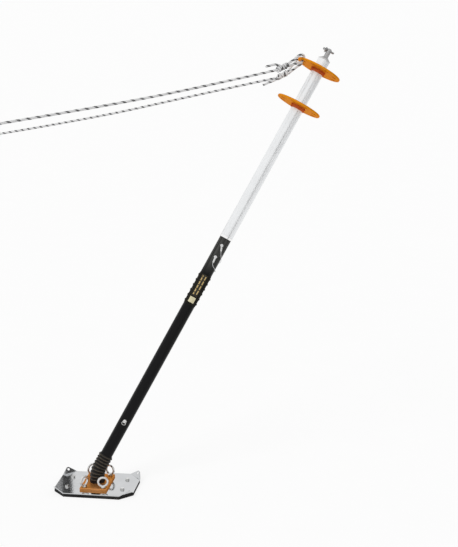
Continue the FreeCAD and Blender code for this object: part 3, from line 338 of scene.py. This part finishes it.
# Metals
def brushed(name, low, high, scale, rough, mast=False, bump=0.12, edge=0.0006):
    """A metal with fine straight lines along one axis and broad soft stains."""
    shade = Shader(name, Metallic=1.0)
    edges = shade.soften(edge)
    lines = shade.noise(shade.place(scale, mast), 1.0, 6.0, 0.6)
    stains = shade.noise(shade.place(mast=mast), 14.0, 3.0)
    blend = shade.sums("ADD", shade.sums("MULTIPLY", lines, 0.6),
                       shade.sums("MULTIPLY", stains, 0.4))
    pale = tuple(min(part * 1.15, 0.95) for part in high)
    shade.colour(shade.worn(edges, shade.ramp(blend, low, high, 0.35, 0.65), pale))
    shade.roughness(shade.spread(blend, rough[0], rough[1]))
    shade.bump(lines, bump, 0.0002)
    return shade.material


def speckled(name, low, high, scale, rough, bump=0.1, edge=0.0004, metallic=1.0):
    """A metal with fine grains, a slow change of tone and brighter edges."""
    shade = Shader(name, Metallic=metallic)
    edges = shade.soften(edge)
    grains = shade.noise(shade.place(), scale, 4.0, 0.6)
    cloud = shade.noise(shade.place(), 45.0, 3.0)
    pale = tuple(min(part * 1.2, 0.95) for part in high)
    shade.colour(shade.worn(edges, shade.ramp(cloud, low, high), pale))
    shade.roughness(shade.spread(grains, rough[0], rough[1]))
    shade.bump(grains, bump, 0.0002)
    return shade.material


def plate_steel():
    return brushed("plate_steel", (0.53, 0.54, 0.55), (0.62, 0.63, 0.64), (6, 900, 900),
                   (0.03, 0.08), bump=0.15, edge=0.001)


def bright_steel():
    return speckled("bright_steel", (0.62, 0.62, 0.61), (0.74, 0.74, 0.73), 320.0,
                    (0.08, 0.2), 0.05)


def tube_aluminium():
    return brushed("tube_aluminium", (0.8, 0.81, 0.82), (0.9, 0.91, 0.92), (500, 500, 5),
                   (0.28, 0.4), True)


def cast_aluminium():
    return speckled("cast_aluminium", (0.6, 0.6, 0.61), (0.74, 0.74, 0.75), 900.0, (0.3, 0.45))


def joint_bright():
    return brushed("joint_bright", (0.86, 0.86, 0.86), (0.94, 0.94, 0.94), (30, 30, 1500),
                   (0.1, 0.22), True, 0.08)


def bronze():
    return speckled("bronze", (0.42, 0.27, 0.1), (0.6, 0.42, 0.2), 500.0, (0.25, 0.42), 0.08)


TURNING_PITCH = 0.0011


def anodised(name, low, high, bare, tint, rings=False):
    """Anodised aluminium: turned rings round the mast or drawn lines, with paler worn edges."""
    shade = Shader(name, Metallic=0.85, Specular_Tint=(*tint, 1))
    edges = shade.soften(0.0008)
    cloud = shade.noise(shade.place(), 30.0, 4.0)
    shade.colour(shade.worn(edges, shade.ramp(cloud, low, high), bare, 0.5))
    if rings:
        axes = shade.axes(shade.place(mast=True))
        across = shade.sums("POWER", axes["X"], 2)
        over = shade.sums("POWER", axes["Y"], 2)
        radius = shade.sums("SQRT", shade.sums("ADD", across, over))
        lines = shade.sums("SINE", shade.sums("MULTIPLY", radius, 2 * math.pi / TURNING_PITCH))
    else:
        lines = shade.noise(shade.place((900, 8, 900)), 1.0, 5.0)
    shade.roughness(shade.spread(cloud, 0.38, 0.52))
    shade.bump(lines, 0.06, 0.0002)
    shade.bump(shade.noise(shade.place(), 1500.0, 2.0), 0.05, 0.0001)
    return shade.material


def disc_orange():
    return anodised("disc_orange", (0.66, 0.23, 0.006), (0.82, 0.32, 0.012), (0.36, 0.23, 0.03),
                    (0.95, 0.55, 0.08), True)


# painted shade: the collars under the discs get a darker, redder orange than the discs, as shade
def collar_shaded_orange():
    return anodised("collar_shaded_orange", (0.5, 0.12, 0.035), (0.62, 0.17, 0.06), (0.7, 0.35, 0.15),
                    (0.9, 0.35, 0.1), True)


def block_orange():
    return anodised("block_orange", (0.55, 0.23, 0.06), (0.68, 0.31, 0.11), (0.85, 0.62, 0.36),
                    (0.9, 0.5, 0.15))


# Heights on the mast, in metres, over which the black tube's painted sheen of lighter streaks sets in
SHEEN_RISE = (1.13, 1.2)


def black_tube():
    """Black anodised tube with faint drawn lines, small pale rubs and a painted sheen of lighter
    streaks high on it.
    """
    shade = Shader("black_tube", Specular_IOR_Level=0.14)
    edges = shade.soften(0.0006)
    lines = shade.noise(shade.place((700, 700, 4), True), 1.0, 5.0)
    rubs = shade.noise(shade.place((260, 260, 30), True), 1.0, 6.0, 0.75)
    base = shade.ramp(rubs, (0.0025, 0.0025, 0.0028), (0.016, 0.016, 0.017), 0.55, 0.88)
    # painted sheen: above these heights the base colour is mixed towards lighter grey streaks
    height = shade.axes(shade.place(mast=True))["Z"]
    upper = shade.spread(height, 0.0, 1.0, *SHEEN_RISE)
    sheen_streaks = shade.ramp(shade.noise(shade.place((120, 120, 3), True), 1.0, 5.0, 0.7),
                         (0.006, 0.006, 0.005), (0.07, 0.07, 0.066), 0.35, 0.7)
    base = shade.mix(upper, base, sheen_streaks)
    shade.colour(shade.worn(edges, base, (0.12, 0.12, 0.12), 0.6))
    shade.roughness(shade.spread(lines, 0.26, 0.4))
    shade.bump(lines, 0.12, 0.0002)
    return shade.material


def black_coat(name, low, high):
    """A dark coated metal with a fine sandy surface."""
    shade = Shader(name, Specular_IOR_Level=0.2)
    edges = shade.soften(0.0006)
    grains = shade.noise(shade.place(), 700.0, 3.0)
    shade.colour(shade.worn(edges, shade.ramp(grains, low, high), (0.2, 0.2, 0.2), 0.4))
    shade.roughness(shade.spread(grains, 0.35, 0.5))
    shade.bump(grains, 0.15, 0.0002)
    return shade.material


# Heights on the mast, in metres, over which the head's grey turns from the cap's to the post's
POST_RISE = (2.35, 2.372)


def head_grey():
    """Cast aluminium of the head fitting, light on its cap and darker up its post."""
    shade = Shader("head_grey", Metallic=0.7)
    edges = shade.soften(0.0008)
    height = shade.axes(shade.place(mast=True))["Z"]
    rise = shade.spread(height, 0.0, 1.0, *POST_RISE)
    grains = shade.noise(shade.place(), 800.0, 4.0)
    cap = shade.ramp(grains, (0.52, 0.52, 0.52), (0.66, 0.66, 0.66))
    post = shade.ramp(grains, (0.3, 0.3, 0.3), (0.5, 0.5, 0.5))
    shade.colour(shade.worn(edges, shade.mix(rise, cap, post), (0.7, 0.7, 0.7), 0.5))
    shade.roughness(shade.spread(grains, 0.35, 0.55))
    shade.bump(grains, 0.2, 0.0003)
    return shade.material


# Rubber and plastic
def rubber(name, low, high, grain):
    """Dull rubber or plastic with a fine grain and patches of dust."""
    shade = Shader(name, Specular_IOR_Level=0.12)
    edges = shade.soften(0.001)
    grains = shade.noise(shade.place(), grain, 4.0, 0.65)
    dust = shade.noise(shade.place(), 18.0, 5.0, 0.7)
    shade.colour(shade.worn(edges, shade.ramp(dust, low, high, 0.4, 0.8), (0.08, 0.075, 0.07), 0.4))
    shade.roughness(shade.spread(grains, 0.55, 0.8))
    shade.bump(grains, 0.25, 0.0003)
    return shade.material


def ribbed_rubber():
    """The boot's rubber with painted shade and light: near black in its valleys, lighter dusty
    brown-grey on its ribs.
    """
    shade = Shader("ribbed_rubber", Specular_IOR_Level=0.25)
    along = shade.axes(shade.add("ShaderNodeTexCoord").outputs["UV"])["Y"]
    phase = shade.sums("FRACT", shade.sums("MULTIPLY", along, BOOT_RIBS))
    wave = shade.sums("MULTIPLY", shade.spread(phase, 0.0, 1.0, *RIB_RISE),
                      shade.spread(phase, 1.0, 0.0, *RIB_FALL))
    dust = shade.spread(shade.noise(shade.place(), 70.0, 5.0, 0.7), 0.35, 1.0, 0.35, 0.65)
    # painted shade and highlight: the rib valleys are painted near black and the crests lighter
    # brown-grey, in dusty patches
    rib_shade_and_dust = shade.sums("MULTIPLY", shade.spread(wave, 0.0, 1.0, 0.6, 1.0), dust)
    shade.colour(shade.mix(rib_shade_and_dust, (0.003, 0.0028, 0.0026), (0.075, 0.062, 0.045)))
    grains = shade.noise(shade.place(), 600.0, 4.0, 0.65)
    shade.roughness(shade.spread(grains, 0.4, 0.62))
    shade.bump(grains, 0.25, 0.0003)
    return shade.material


def cream_plastic():
    shade = Shader("cream_plastic", Specular_IOR_Level=0.4)
    edges = shade.soften(0.0004)
    cloud = shade.noise(shade.place(), 80.0, 4.0)
    base = shade.ramp(cloud, (0.52, 0.47, 0.29), (0.66, 0.61, 0.42))
    shade.colour(shade.worn(edges, base, (0.3, 0.27, 0.17), 0.5))
    shade.roughness(shade.spread(cloud, 0.3, 0.45))
    shade.bump(shade.noise(shade.place(), 900.0), 0.06, 0.0001)
    return shade.material


# The label's bars in metres on the mast: their middle, reach and height, then each row's middle,
# pitch and start; MARK_SHARE of each pitch is gold
LABEL_MIDDLE = 1.0625
MARK_REACH = 0.052
MARK_TALL = 0.0052
MARK_SHARE = 0.76
MARK_ROWS = ((-0.008, 0.021, 0.004), (0.008, 0.027, 0.011))


def gold_marks():
    """Dark plate with two rows of plain gold bars of uneven length."""
    shade = Shader("gold_marks", Specular_IOR_Level=0.3)
    edges = shade.soften(0.0004)
    axes = shade.axes(shade.place(mast=True))
    brush = shade.noise(shade.place((700, 700, 12), True), 1.0, 4.0)
    plate = shade.ramp(brush, (0.012, 0.01, 0.006), (0.03, 0.024, 0.014))
    gold = shade.ramp(brush, (0.42, 0.29, 0.1), (0.6, 0.45, 0.2))
    marks = None
    for middle, step, start in MARK_ROWS:
        along = shade.sums("ADD", axes["Z"], start)
        beat = shade.sums("FRACT", shade.sums("MULTIPLY", along, 1 / step))
        bars = shade.sums("LESS_THAN", beat, MARK_SHARE)
        away = shade.sums("ABSOLUTE", shade.sums("SUBTRACT", axes["Y"], middle))
        row = shade.sums("MULTIPLY", bars, shade.sums("LESS_THAN", away, MARK_TALL / 2))
        marks = row if marks is None else shade.sums("MAXIMUM", marks, row)
    from_middle = shade.sums("ABSOLUTE", shade.sums("SUBTRACT", axes["Z"], LABEL_MIDDLE))
    marks = shade.sums("MULTIPLY", marks, shade.sums("LESS_THAN", from_middle, MARK_REACH))
    shade.colour(shade.worn(edges, shade.mix(marks, plate, gold), (0.2, 0.15, 0.07), 0.5))
    shade.roughness(shade.spread(brush, 0.28, 0.42))
    shade.bump(marks, 0.4, 0.0002)
    return shade.material


# Ropes: the braid's ridges round the rope, their pitch in metres and depth as a share of the
# radius; each rope's dark yarn by its lead in metres and its share of the way round
BRAID_ROUND = 8
BRAID_LONG = 0.0063
BRAID_DEPTH = 0.035
BRAID_GAP = -0.55
TRACER_LEADS = {1: 0.048, 2: 0.039}
TRACER_WIDTH = 0.32


def rope_fibre(name, lead=None):
    """Braided white rope with painted shade in the braid's valleys, and a dark yarn wound round it that
    shows as flecks.
    """
    shade = Shader(name, Specular_IOR_Level=0.25, Sheen_Weight=0.25, Sheen_Roughness=0.5)
    axes = shade.axes(shade.add("ShaderNodeTexCoord").outputs["UV"])
    around, along = axes["X"], axes["Y"]
    turns = shade.sums("MULTIPLY", around, 2 * math.pi * BRAID_ROUND)
    run = shade.sums("MULTIPLY", along, 2 * math.pi / BRAID_LONG)
    right = shade.sums("SINE", shade.sums("ADD", turns, run))
    left = shade.sums("SINE", shade.sums("SUBTRACT", turns, run))
    braid = shade.sums("MULTIPLY", right, left)
    fuzz = shade.noise(shade.place(), 1400.0, 3.0)
    soil = shade.noise(shade.place(), 22.0, 4.0)
    base = shade.ramp(soil, (0.68, 0.68, 0.68), (0.82, 0.82, 0.82))
    # painted shade: the braid's valleys are darkened towards grey
    shaded = shade.mix(shade.spread(braid, 0.6, 0.0, -0.6, 0.2), base, (0.4, 0.4, 0.41))
    if lead:
        wound = shade.sums("MULTIPLY", along, 1 / lead)
        turn = shade.sums("FRACT", shade.sums("SUBTRACT", around, wound))
        away = shade.sums("ABSOLUTE", shade.sums("SUBTRACT", turn, 0.5))
        yarn = shade.sums("LESS_THAN", away, TRACER_WIDTH / 2)
        over = shade.sums("GREATER_THAN", braid, BRAID_GAP)
        shaded = shade.mix(shade.sums("MULTIPLY", yarn, over), shaded, (0.012, 0.012, 0.014))
    shade.colour(shaded)
    shade.roughness(shade.spread(fuzz, 0.75, 0.95))
    shade.bump(braid, 0.5, 0.0006)
    shade.bump(fuzz, 0.3, 0.0002)
    return shade.material


# Width of the ropes and the step along them in metres, and their sides round
GUY_WIDTH = 0.0115
GUY_SIDES = 32
GUY_STEP = BRAID_LONG / 4
# Points from the upper disc's middle, in metres
GUYS = {
    1: {
        "rope": [(-0.1981, -0.1368, 0.0067), (-0.5791, -0.4368, -0.0663), (-0.9631, -0.7558, -0.1233),
                 (-1.3381, -1.0918, -0.1673)],
        "knot": [(-0.1461, -0.0938, 0.0287), (-0.1981, -0.1368, 0.0067)],
        "bight": [(-0.1451, -0.0918, 0.0227), (-0.0987, -0.0531, 0.0369), (-0.081, -0.0419, 0.0394),
                  (-0.0679, -0.0343, 0.0641), (-0.0786, -0.0407, 0.0794), (-0.095, -0.0533, 0.0749),
                  (-0.1251, -0.0768, 0.0477), (-0.1471, -0.0938, 0.0347)],
        "tail": [(-0.1731, -0.1208, 0.0237), (-0.1961, -0.1348, 0.0337), (-0.2241, -0.1548, 0.0327),
                 (-0.2461, -0.1728, 0.0247)],
    },
    2: {
        "rope": [(-0.2161, 0.0572, -0.0473), (-0.6801, 0.1712, -0.1573), (-1.2201, 0.2892, -0.2913),
                 (-1.8421, 0.4182, -0.4113)],
        "knot": [(-0.1571, 0.0452, -0.0183), (-0.2161, 0.0572, -0.0473)],
        "bight": [(-0.1551, 0.0422, -0.0233), (-0.1125, 0.0334, 0.0119), (-0.0917, 0.0308, 0.0227),
                  (-0.0786, 0.0384, 0.0475), (-0.0915, 0.0475, 0.0592), (-0.109, 0.0512, 0.0492),
                  (-0.1381, 0.0502, 0.0147), (-0.1591, 0.0482, -0.0133)],
        "tail": [(-0.1921, 0.0432, -0.0383), (-0.2231, 0.0482, -0.0583), (-0.2541, 0.0552, -0.0703),
                 (-0.2841, 0.0622, -0.0833)],
    },
}
WRAP_WIDTH = 0.0104
WRAP_RADIUS = 0.0102
WRAP_WAIST = 0.0028
WAIST_SHARE = 0.1
WRAP_START = 0.06
WRAP_REACH = 0.88
WRAP_TURNS = 5
WRAP_POINTS = 18
END_TURNS = 4
END_KNOT_LONG = 0.046
END_LOOP = [(-0.002, 0.006), (0.03, 0.017), (0.058, 0.016), (0.058, -0.016), (0.03, -0.017),
            (-0.002, -0.006)]


def braid_swell(around, along):
    """The braid's low lattice as a share of the rope's radius."""
    turns = 2 * math.pi * BRAID_ROUND * around
    run = 2 * math.pi * along / BRAID_LONG
    return 1 + BRAID_DEPTH * math.sin(turns + run) * math.sin(turns - run)


def rope_piece(name, points, width, material, smooth=True):
    """A length of braided rope along a route; returns it and its line."""
    line = even(route_points(name, points) if smooth else points, GUY_STEP)
    mesh = tube_mesh(name, line, width / 2, GUY_SIDES, braid_swell)
    return piece(name, mesh, material, "upper_disc"), line


def wraps(start, end, turns):
    """The line of rope wound round a knot's axis, drawn in at its waist."""
    axis = end - start
    side = axis.orthogonal().normalized()
    over = axis.normalized().cross(side)
    found = []
    for index in range(turns * WRAP_POINTS + 1):
        share = index / (turns * WRAP_POINTS)
        radius = WRAP_RADIUS - WRAP_WAIST * math.exp(-((share - 0.5) / WAIST_SHARE) ** 2)
        turn = 2 * math.pi * turns * share
        along = WRAP_START + WRAP_REACH * share
        outward = side * math.cos(turn) + over * math.sin(turn)
        found.append(start + axis * along + outward * radius)
    return found


def straight(start, end):
    """A straight run of rope, by its ends and middle."""
    return [start, start.lerp(end, 0.5), end]


def make_guys():
    """Guy ropes, their knots and the loops past the photograph's edge."""
    for index, offsets in GUYS.items():
        guy = {part: [DISC_MIDDLE + Vector(offset) for offset in points]
               for part, points in offsets.items()}
        fibre = rope_fibre(f"guy_fibre_{index}", TRACER_LEADS[index])
        rope, line = rope_piece(f"guy_line_{index}", guy["rope"], GUY_WIDTH, fibre)
        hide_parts(f"guy_rope_{index}")
        start, end = guy["knot"]
        knot, _ = rope_piece(f"guy_wraps_{index}", wraps(start, end, WRAP_TURNS),
                             WRAP_WIDTH, fibre, False)
        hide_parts(f"guy_knot_{index}")
        core, _ = rope_piece(f"guy_core_{index}", straight(start, end), WRAP_WIDTH, fibre, False)
        bight, bight_line = rope_piece(f"guy_bight_{index}", guy["bight"], GUY_WIDTH, fibre)
        tail, _ = rope_piece(f"guy_tail_{index}", guy["tail"], GUY_WIDTH, fibre)
        last = guy["rope"][-1]
        along = (last - guy["rope"][-2]).normalized()
        side = along.cross(UP).normalized()
        rise = side.cross(along)
        tip = last + along * END_KNOT_LONG
        end_wraps, _ = rope_piece(f"end_wraps_{index}", wraps(last, tip, END_TURNS),
                                  WRAP_WIDTH, fibre, False)
        end_core, _ = rope_piece(f"end_core_{index}", straight(last, tip),
                                 WRAP_WIDTH, fibre, False)
        route = [tip + along * out + rise * up for out, up in END_LOOP]
        loop, _ = rope_piece(f"end_loop_{index}", route, GUY_WIDTH, fibre)
        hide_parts("guy_ends")


# Lanyards of the coupler pins, in the mast's own frame
LANYARD_WIDTH = 0.0022
LANYARD_STEP = 0.0015
LANYARD_SIDES = 12
LANYARDS = {
    1: [(0.04, 0.01126, 1.26214), (0.04, 0.0146, 1.2538), (0.035, 0.0235, 1.24),
        (0.022, 0.0315, 1.228), (0.0063, 0.0348, 1.219), (-0.0104, 0.0338, 1.21),
        (-0.0216, 0.02574, 1.2), (-0.0216, 0.02574, 1.18405)],
    2: [(0.04, 0.00314, 1.19511), (0.04, 0.0041, 1.1862), (0.0375, 0.012, 1.178),
        (0.031, 0.022, 1.172), (0.018, 0.031, 1.166), (0.004, 0.0352, 1.162),
        (-0.0104, 0.0338, 1.159), (-0.0216, 0.02574, 1.156), (-0.0216, 0.02574, 1.14205)],
}


def make_lanyards():
    """The cords from the pins' handles round the tube to their studs."""
    cord = rope_fibre("lanyard_fibre")
    for index, points in LANYARDS.items():
        name = f"lanyard_cord_{index}"
        places = [on_mast(*point) for point in points]
        line = even(route_points(name, places), LANYARD_STEP)
        mesh = tube_mesh(name, line, LANYARD_WIDTH / 2, LANYARD_SIDES)
        lanyard = piece(name, mesh, cord)
        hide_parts(f"lanyard_{index}")
        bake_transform(lanyard)


# Rubber boot, bent to the mast's lean at the foot joint; lengths in metres, ribs in shares of their
# pitch
BOOT_BOTTOM = 0.0418
BOOT_BEND = 0.03
BOOT_END = 0.095
BOOT_CUFF = 0.06
BOOT_BORE = 0.0315
BOOT_GRIP = 0.0302
BOOT_VALLEY = 0.0329
BOOT_CREST = 0.0368
BOOT_RIBS = 9
BOOT_SIDES = 72
BOOT_STEPS = 14
BORE_STEPS = 12
LIP_OUTER = 0.0004
LIP_INNER = 0.0006
LIP_DRAWN = 0.001
RIB_RISE = (0.0, 0.3)
RIB_FALL = (0.55, 0.85)


def boot_line(distance, total):
    """A point of the boot's middle line and its direction."""
    lean = MAST_AXIS.angle(UP)
    heading = Vector((MAST_AXIS.x, MAST_AXIS.y, 0)).normalized()
    radius = BOOT_BEND / math.tan(lean / 2)
    start = PIVOT.z - BOOT_BEND
    rest = distance - (start - BOOT_BOTTOM)
    if rest <= 0:
        return Vector((0, 0, BOOT_BOTTOM + distance)), UP
    angle = min(rest / radius, lean)
    place = Vector((0, 0, start + radius * math.sin(angle)))
    place += heading * radius * (1 - math.cos(angle))
    direction = heading * math.sin(angle) + Vector((0, 0, math.cos(angle)))
    return place + direction * (rest - radius * angle), direction


def boot_radius(share):
    """The bellows' outside radius at a share of its length, with a rounded rib at each pitch."""
    phase = share * BOOT_RIBS % 1
    up = min(max((phase - RIB_RISE[0]) / (RIB_RISE[1] - RIB_RISE[0]), 0), 1)
    down = min(max((RIB_FALL[1] - phase) / (RIB_FALL[1] - RIB_FALL[0]), 0), 1)
    rise = min(up, down)
    return BOOT_VALLEY + (BOOT_CREST - BOOT_VALLEY) * rise * rise * (3 - 2 * rise)


def make_boot():
    """The closed bellows with its bore, whose UVs run round it and along it."""
    lean = MAST_AXIS.angle(UP)
    arc = BOOT_BEND / math.tan(lean / 2) * lean
    total = PIVOT.z - BOOT_BEND - BOOT_BOTTOM + arc + BOOT_END - BOOT_BEND
    count = BOOT_RIBS * BOOT_STEPS
    profile = [(total * index / count, boot_radius(index / count)) for index in range(count + 1)]
    cuff = total - (BOOT_END - BOOT_CUFF)
    profile += [(total - LIP_OUTER, BOOT_VALLEY - LIP_DRAWN), (total - LIP_INNER, BOOT_GRIP),
                (cuff, BOOT_GRIP)]
    profile += [(cuff * (1 - index / BORE_STEPS), BOOT_BORE) for index in range(BORE_STEPS)]
    profile += [(LIP_OUTER, BOOT_BORE), (0.0, BOOT_BORE + LIP_INNER)]
    hinge = Vector(JOINTS["foot_lean"]["axis"])
    build = bmesh.new()
    uv = build.loops.layers.uv.new("UVMap")
    rows = []
    for distance, radius in profile:
        place, direction = boot_line(distance, total)
        across = direction.cross(hinge)
        rows.append([
            build.verts.new(place + (hinge * math.cos(turn) + across * math.sin(turn)) * radius)
            for turn in (2 * math.pi * step / BOOT_SIDES for step in range(BOOT_SIDES))
        ])
    for index, row in enumerate(rows):
        following = rows[(index + 1) % len(rows)]
        for step in range(BOOT_SIDES):
            after = (step + 1) % BOOT_SIDES
            face = build.faces.new((row[step], row[after], following[after], following[step]))
            face.smooth = True
            spots = (index, index, index + 1, index + 1)
            shares = [profile[spot % len(rows)][0] / total for spot in spots]
            for loop, share, side in zip(face.loops, shares, (step, step + 1, step + 1, step)):
                loop[uv].uv = (side / BOOT_SIDES, share)
    bmesh.ops.recalc_face_normals(build, faces=build.faces)
    mesh = bpy.data.meshes.new("ribbed_boot")
    build.to_mesh(mesh)
    build.free()
    boot = piece("ribbed_boot", mesh, ribbed_rubber())
    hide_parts("boot")
    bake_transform(boot)


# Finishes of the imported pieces
def finish_nodes():
    """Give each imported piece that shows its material; steel where none is named."""
    steel = bright_steel()
    dull = cast_aluminium()
    orange = disc_orange()
    collar = collar_shaded_orange()
    bearing = rubber("bearing_plastic", (0.02, 0.02, 0.02), (0.04, 0.04, 0.04), 600.0)
    finishes = {
        "rubber_sole": rubber("sole_rubber", (0.009, 0.009, 0.01), (0.03, 0.029, 0.028), 260.0),
        "base_plate": plate_steel(),
        "pivot_block": block_orange(),
        "thrust_washer": bearing,
        "turret": black_coat("black_coat", (0.006, 0.006, 0.007), (0.014, 0.014, 0.016)),
        "foot_knuckle": dull,
        "lower_tube": black_tube(),
        "grip_sleeve": rubber("grip_rubber", (0.006, 0.0055, 0.004), (0.022, 0.02, 0.014), 420.0),
        "label_plate": gold_marks(),
        "tag_plate": cream_plastic(),
        "lanyard_anchors": black_coat("anchor_coat", (0.02, 0.02, 0.02), (0.05, 0.05, 0.05)),
        "coupler": dull,
        "joint_ring": joint_bright(),
        "upper_tube": tube_aluminium(),
        "lower_disc": orange,
        "upper_disc": orange,
        "lower_disc_collar": collar,
        "upper_disc_collar": collar,
        "lower_disc_bush": collar,
        "upper_disc_bush": collar,
        "disc_clips": dull,
        "head_cap": head_grey(),
        "head_pin": speckled("head_pin_steel", (0.2, 0.2, 0.2), (0.34, 0.34, 0.34), 700.0, (0.3, 0.45)),
        "pin_button_1": dull,
        "pin_button_2": dull,
        "eye_bushes": bronze(),
        "knuckle_bush": bronze(),
    }
    for name, obj in frame["nodes"].items():
        if not obj.hide_render:
            obj.data.materials.clear()
            obj.data.materials.append(finishes.get(name, steel))


# Studio: pale floor, soft light, and cards that only metal sees
FLOOR_REACH = 1000.0
FLOOR_GLOW = 0.8
SKY_LIGHT = 0.62
# Suns: strength, width in degrees and turn in degrees
SUNS = {"key": (1.25, 30.0, (48, 0, -32)), "fill": (0.35, 60.0, (60, 0, 120))}
# Cards: first and last corner seen from above, height range and tone
CARDS = {
    "card_right": ((2.95, -2.84), (3.45, -2.36), (-0.5, 2.9), 0.12),
    "card_left": ((-2.28, -1.33), (-2.52, -1.07), (-0.3, 2.7), 0.3),
    "card_back": ((-0.72, 1.9), (-0.65, 1.9), (0.3, 1.7), 0.06),
    "card_far_left": ((-1.4, 1.9), (-0.72, 1.9), (0.3, 1.7), 0.4),
    "card_side": ((6.8, -2.9), (3.6, 6.7), (-1.0, 6.3), 0.6),
}


def stage_quad(name, corners, material):
    """A flat four-cornered piece of the stage."""
    mesh = bpy.data.meshes.new(name)
    mesh.from_pydata(corners, [], [(0, 1, 2, 3)])
    mesh.materials.append(material)
    obj = link(bpy.data.objects.new(name, mesh))
    return obj


def make_floor():
    """A wide pale floor; the camera sees it partly lit from within, for a soft shadow."""
    shade = Shader("floor_paint", Roughness=0.9, Specular_IOR_Level=0.1)
    shade.colour(shade.ramp(shade.noise(shade.place(), 3.0), (0.93, 0.93, 0.93), (0.95, 0.95, 0.95)))
    glow = shade.add("ShaderNodeEmission")
    path = shade.add("ShaderNodeLightPath")
    seen = shade.sums("MAXIMUM", path.outputs["Is Camera Ray"], path.outputs["Is Glossy Ray"])
    seen = shade.sums("MAXIMUM", seen, path.outputs["Is Transmission Ray"])
    mixer = shade.add("ShaderNodeMixShader")
    shade.wire(shade.sums("MULTIPLY", seen, FLOOR_GLOW), mixer.inputs[0])
    shade.wire(shade.surface.outputs["BSDF"], mixer.inputs[1])
    shade.wire(glow.outputs["Emission"], mixer.inputs[2])
    shade.wire(mixer.outputs["Shader"], shade.tree.nodes["Material Output"].inputs["Surface"])
    corners = [(x * FLOOR_REACH, y * FLOOR_REACH, 0)
               for x, y in ((-1, -1), (1, -1), (1, 1), (-1, 1))]
    stage_quad("floor", corners, shade.material)


def make_cards():
    """Upright cards that show only in glossy surfaces."""
    for name, (first, last, (low, high), tone) in CARDS.items():
        shade = Shader(name + "_paint", Roughness=1.0)
        shade.surface.inputs["Base Color"].default_value = (tone, tone, tone, 1)
        corners = [(*first, low), (*last, low), (*last, high), (*first, high)]
        card = stage_quad(name, corners, shade.material)
        for ray in ("camera", "diffuse", "transmission", "volume_scatter", "shadow"):
            setattr(card, "visible_" + ray, False)


def make_lights():
    """Two soft suns that leave no glint in the metal."""
    for name, (strength, angle, turn) in SUNS.items():
        data = bpy.data.lights.new(name, "SUN")
        data.energy = strength
        data.angle = math.radians(angle)
        lamp = link(bpy.data.objects.new(name, data))
        lamp.rotation_euler = Euler([math.radians(part) for part in turn])
        lamp.visible_glossy = False


def make_world():
    """White for what the camera and glossy surfaces see, softer for what lights the object."""
    world = bpy.data.worlds.new("studio")
    bpy.context.scene.world = world
    world.use_nodes = True
    tree = world.node_tree
    shown = tree.nodes["Background"]
    lighting = tree.nodes.new("ShaderNodeBackground")
    for background, strength in ((shown, 1.0), (lighting, SKY_LIGHT)):
        background.inputs["Color"].default_value = (1, 1, 1, 1)
        background.inputs["Strength"].default_value = strength
    path = tree.nodes.new("ShaderNodeLightPath")
    seen = path.outputs["Is Camera Ray"]
    for other in ("Is Glossy Ray", "Is Transmission Ray"):
        either = tree.nodes.new("ShaderNodeMath")
        either.operation = "MAXIMUM"
        tree.links.new(seen, either.inputs[0])
        tree.links.new(path.outputs[other], either.inputs[1])
        seen = either.outputs["Value"]
    mix = tree.nodes.new("ShaderNodeMixShader")
    tree.links.new(seen, mix.inputs[0])
    tree.links.new(lighting.outputs["Background"], mix.inputs[1])
    tree.links.new(shown.outputs["Background"], mix.inputs[2])
    tree.links.new(mix.outputs["Shader"], tree.nodes["World Output"].inputs["Surface"])


make_guys()
make_lanyards()
make_boot()
finish_nodes()
make_floor()
make_cards()
make_lights()
make_world()
bpy.context.scene.view_settings.view_transform = "Standard"
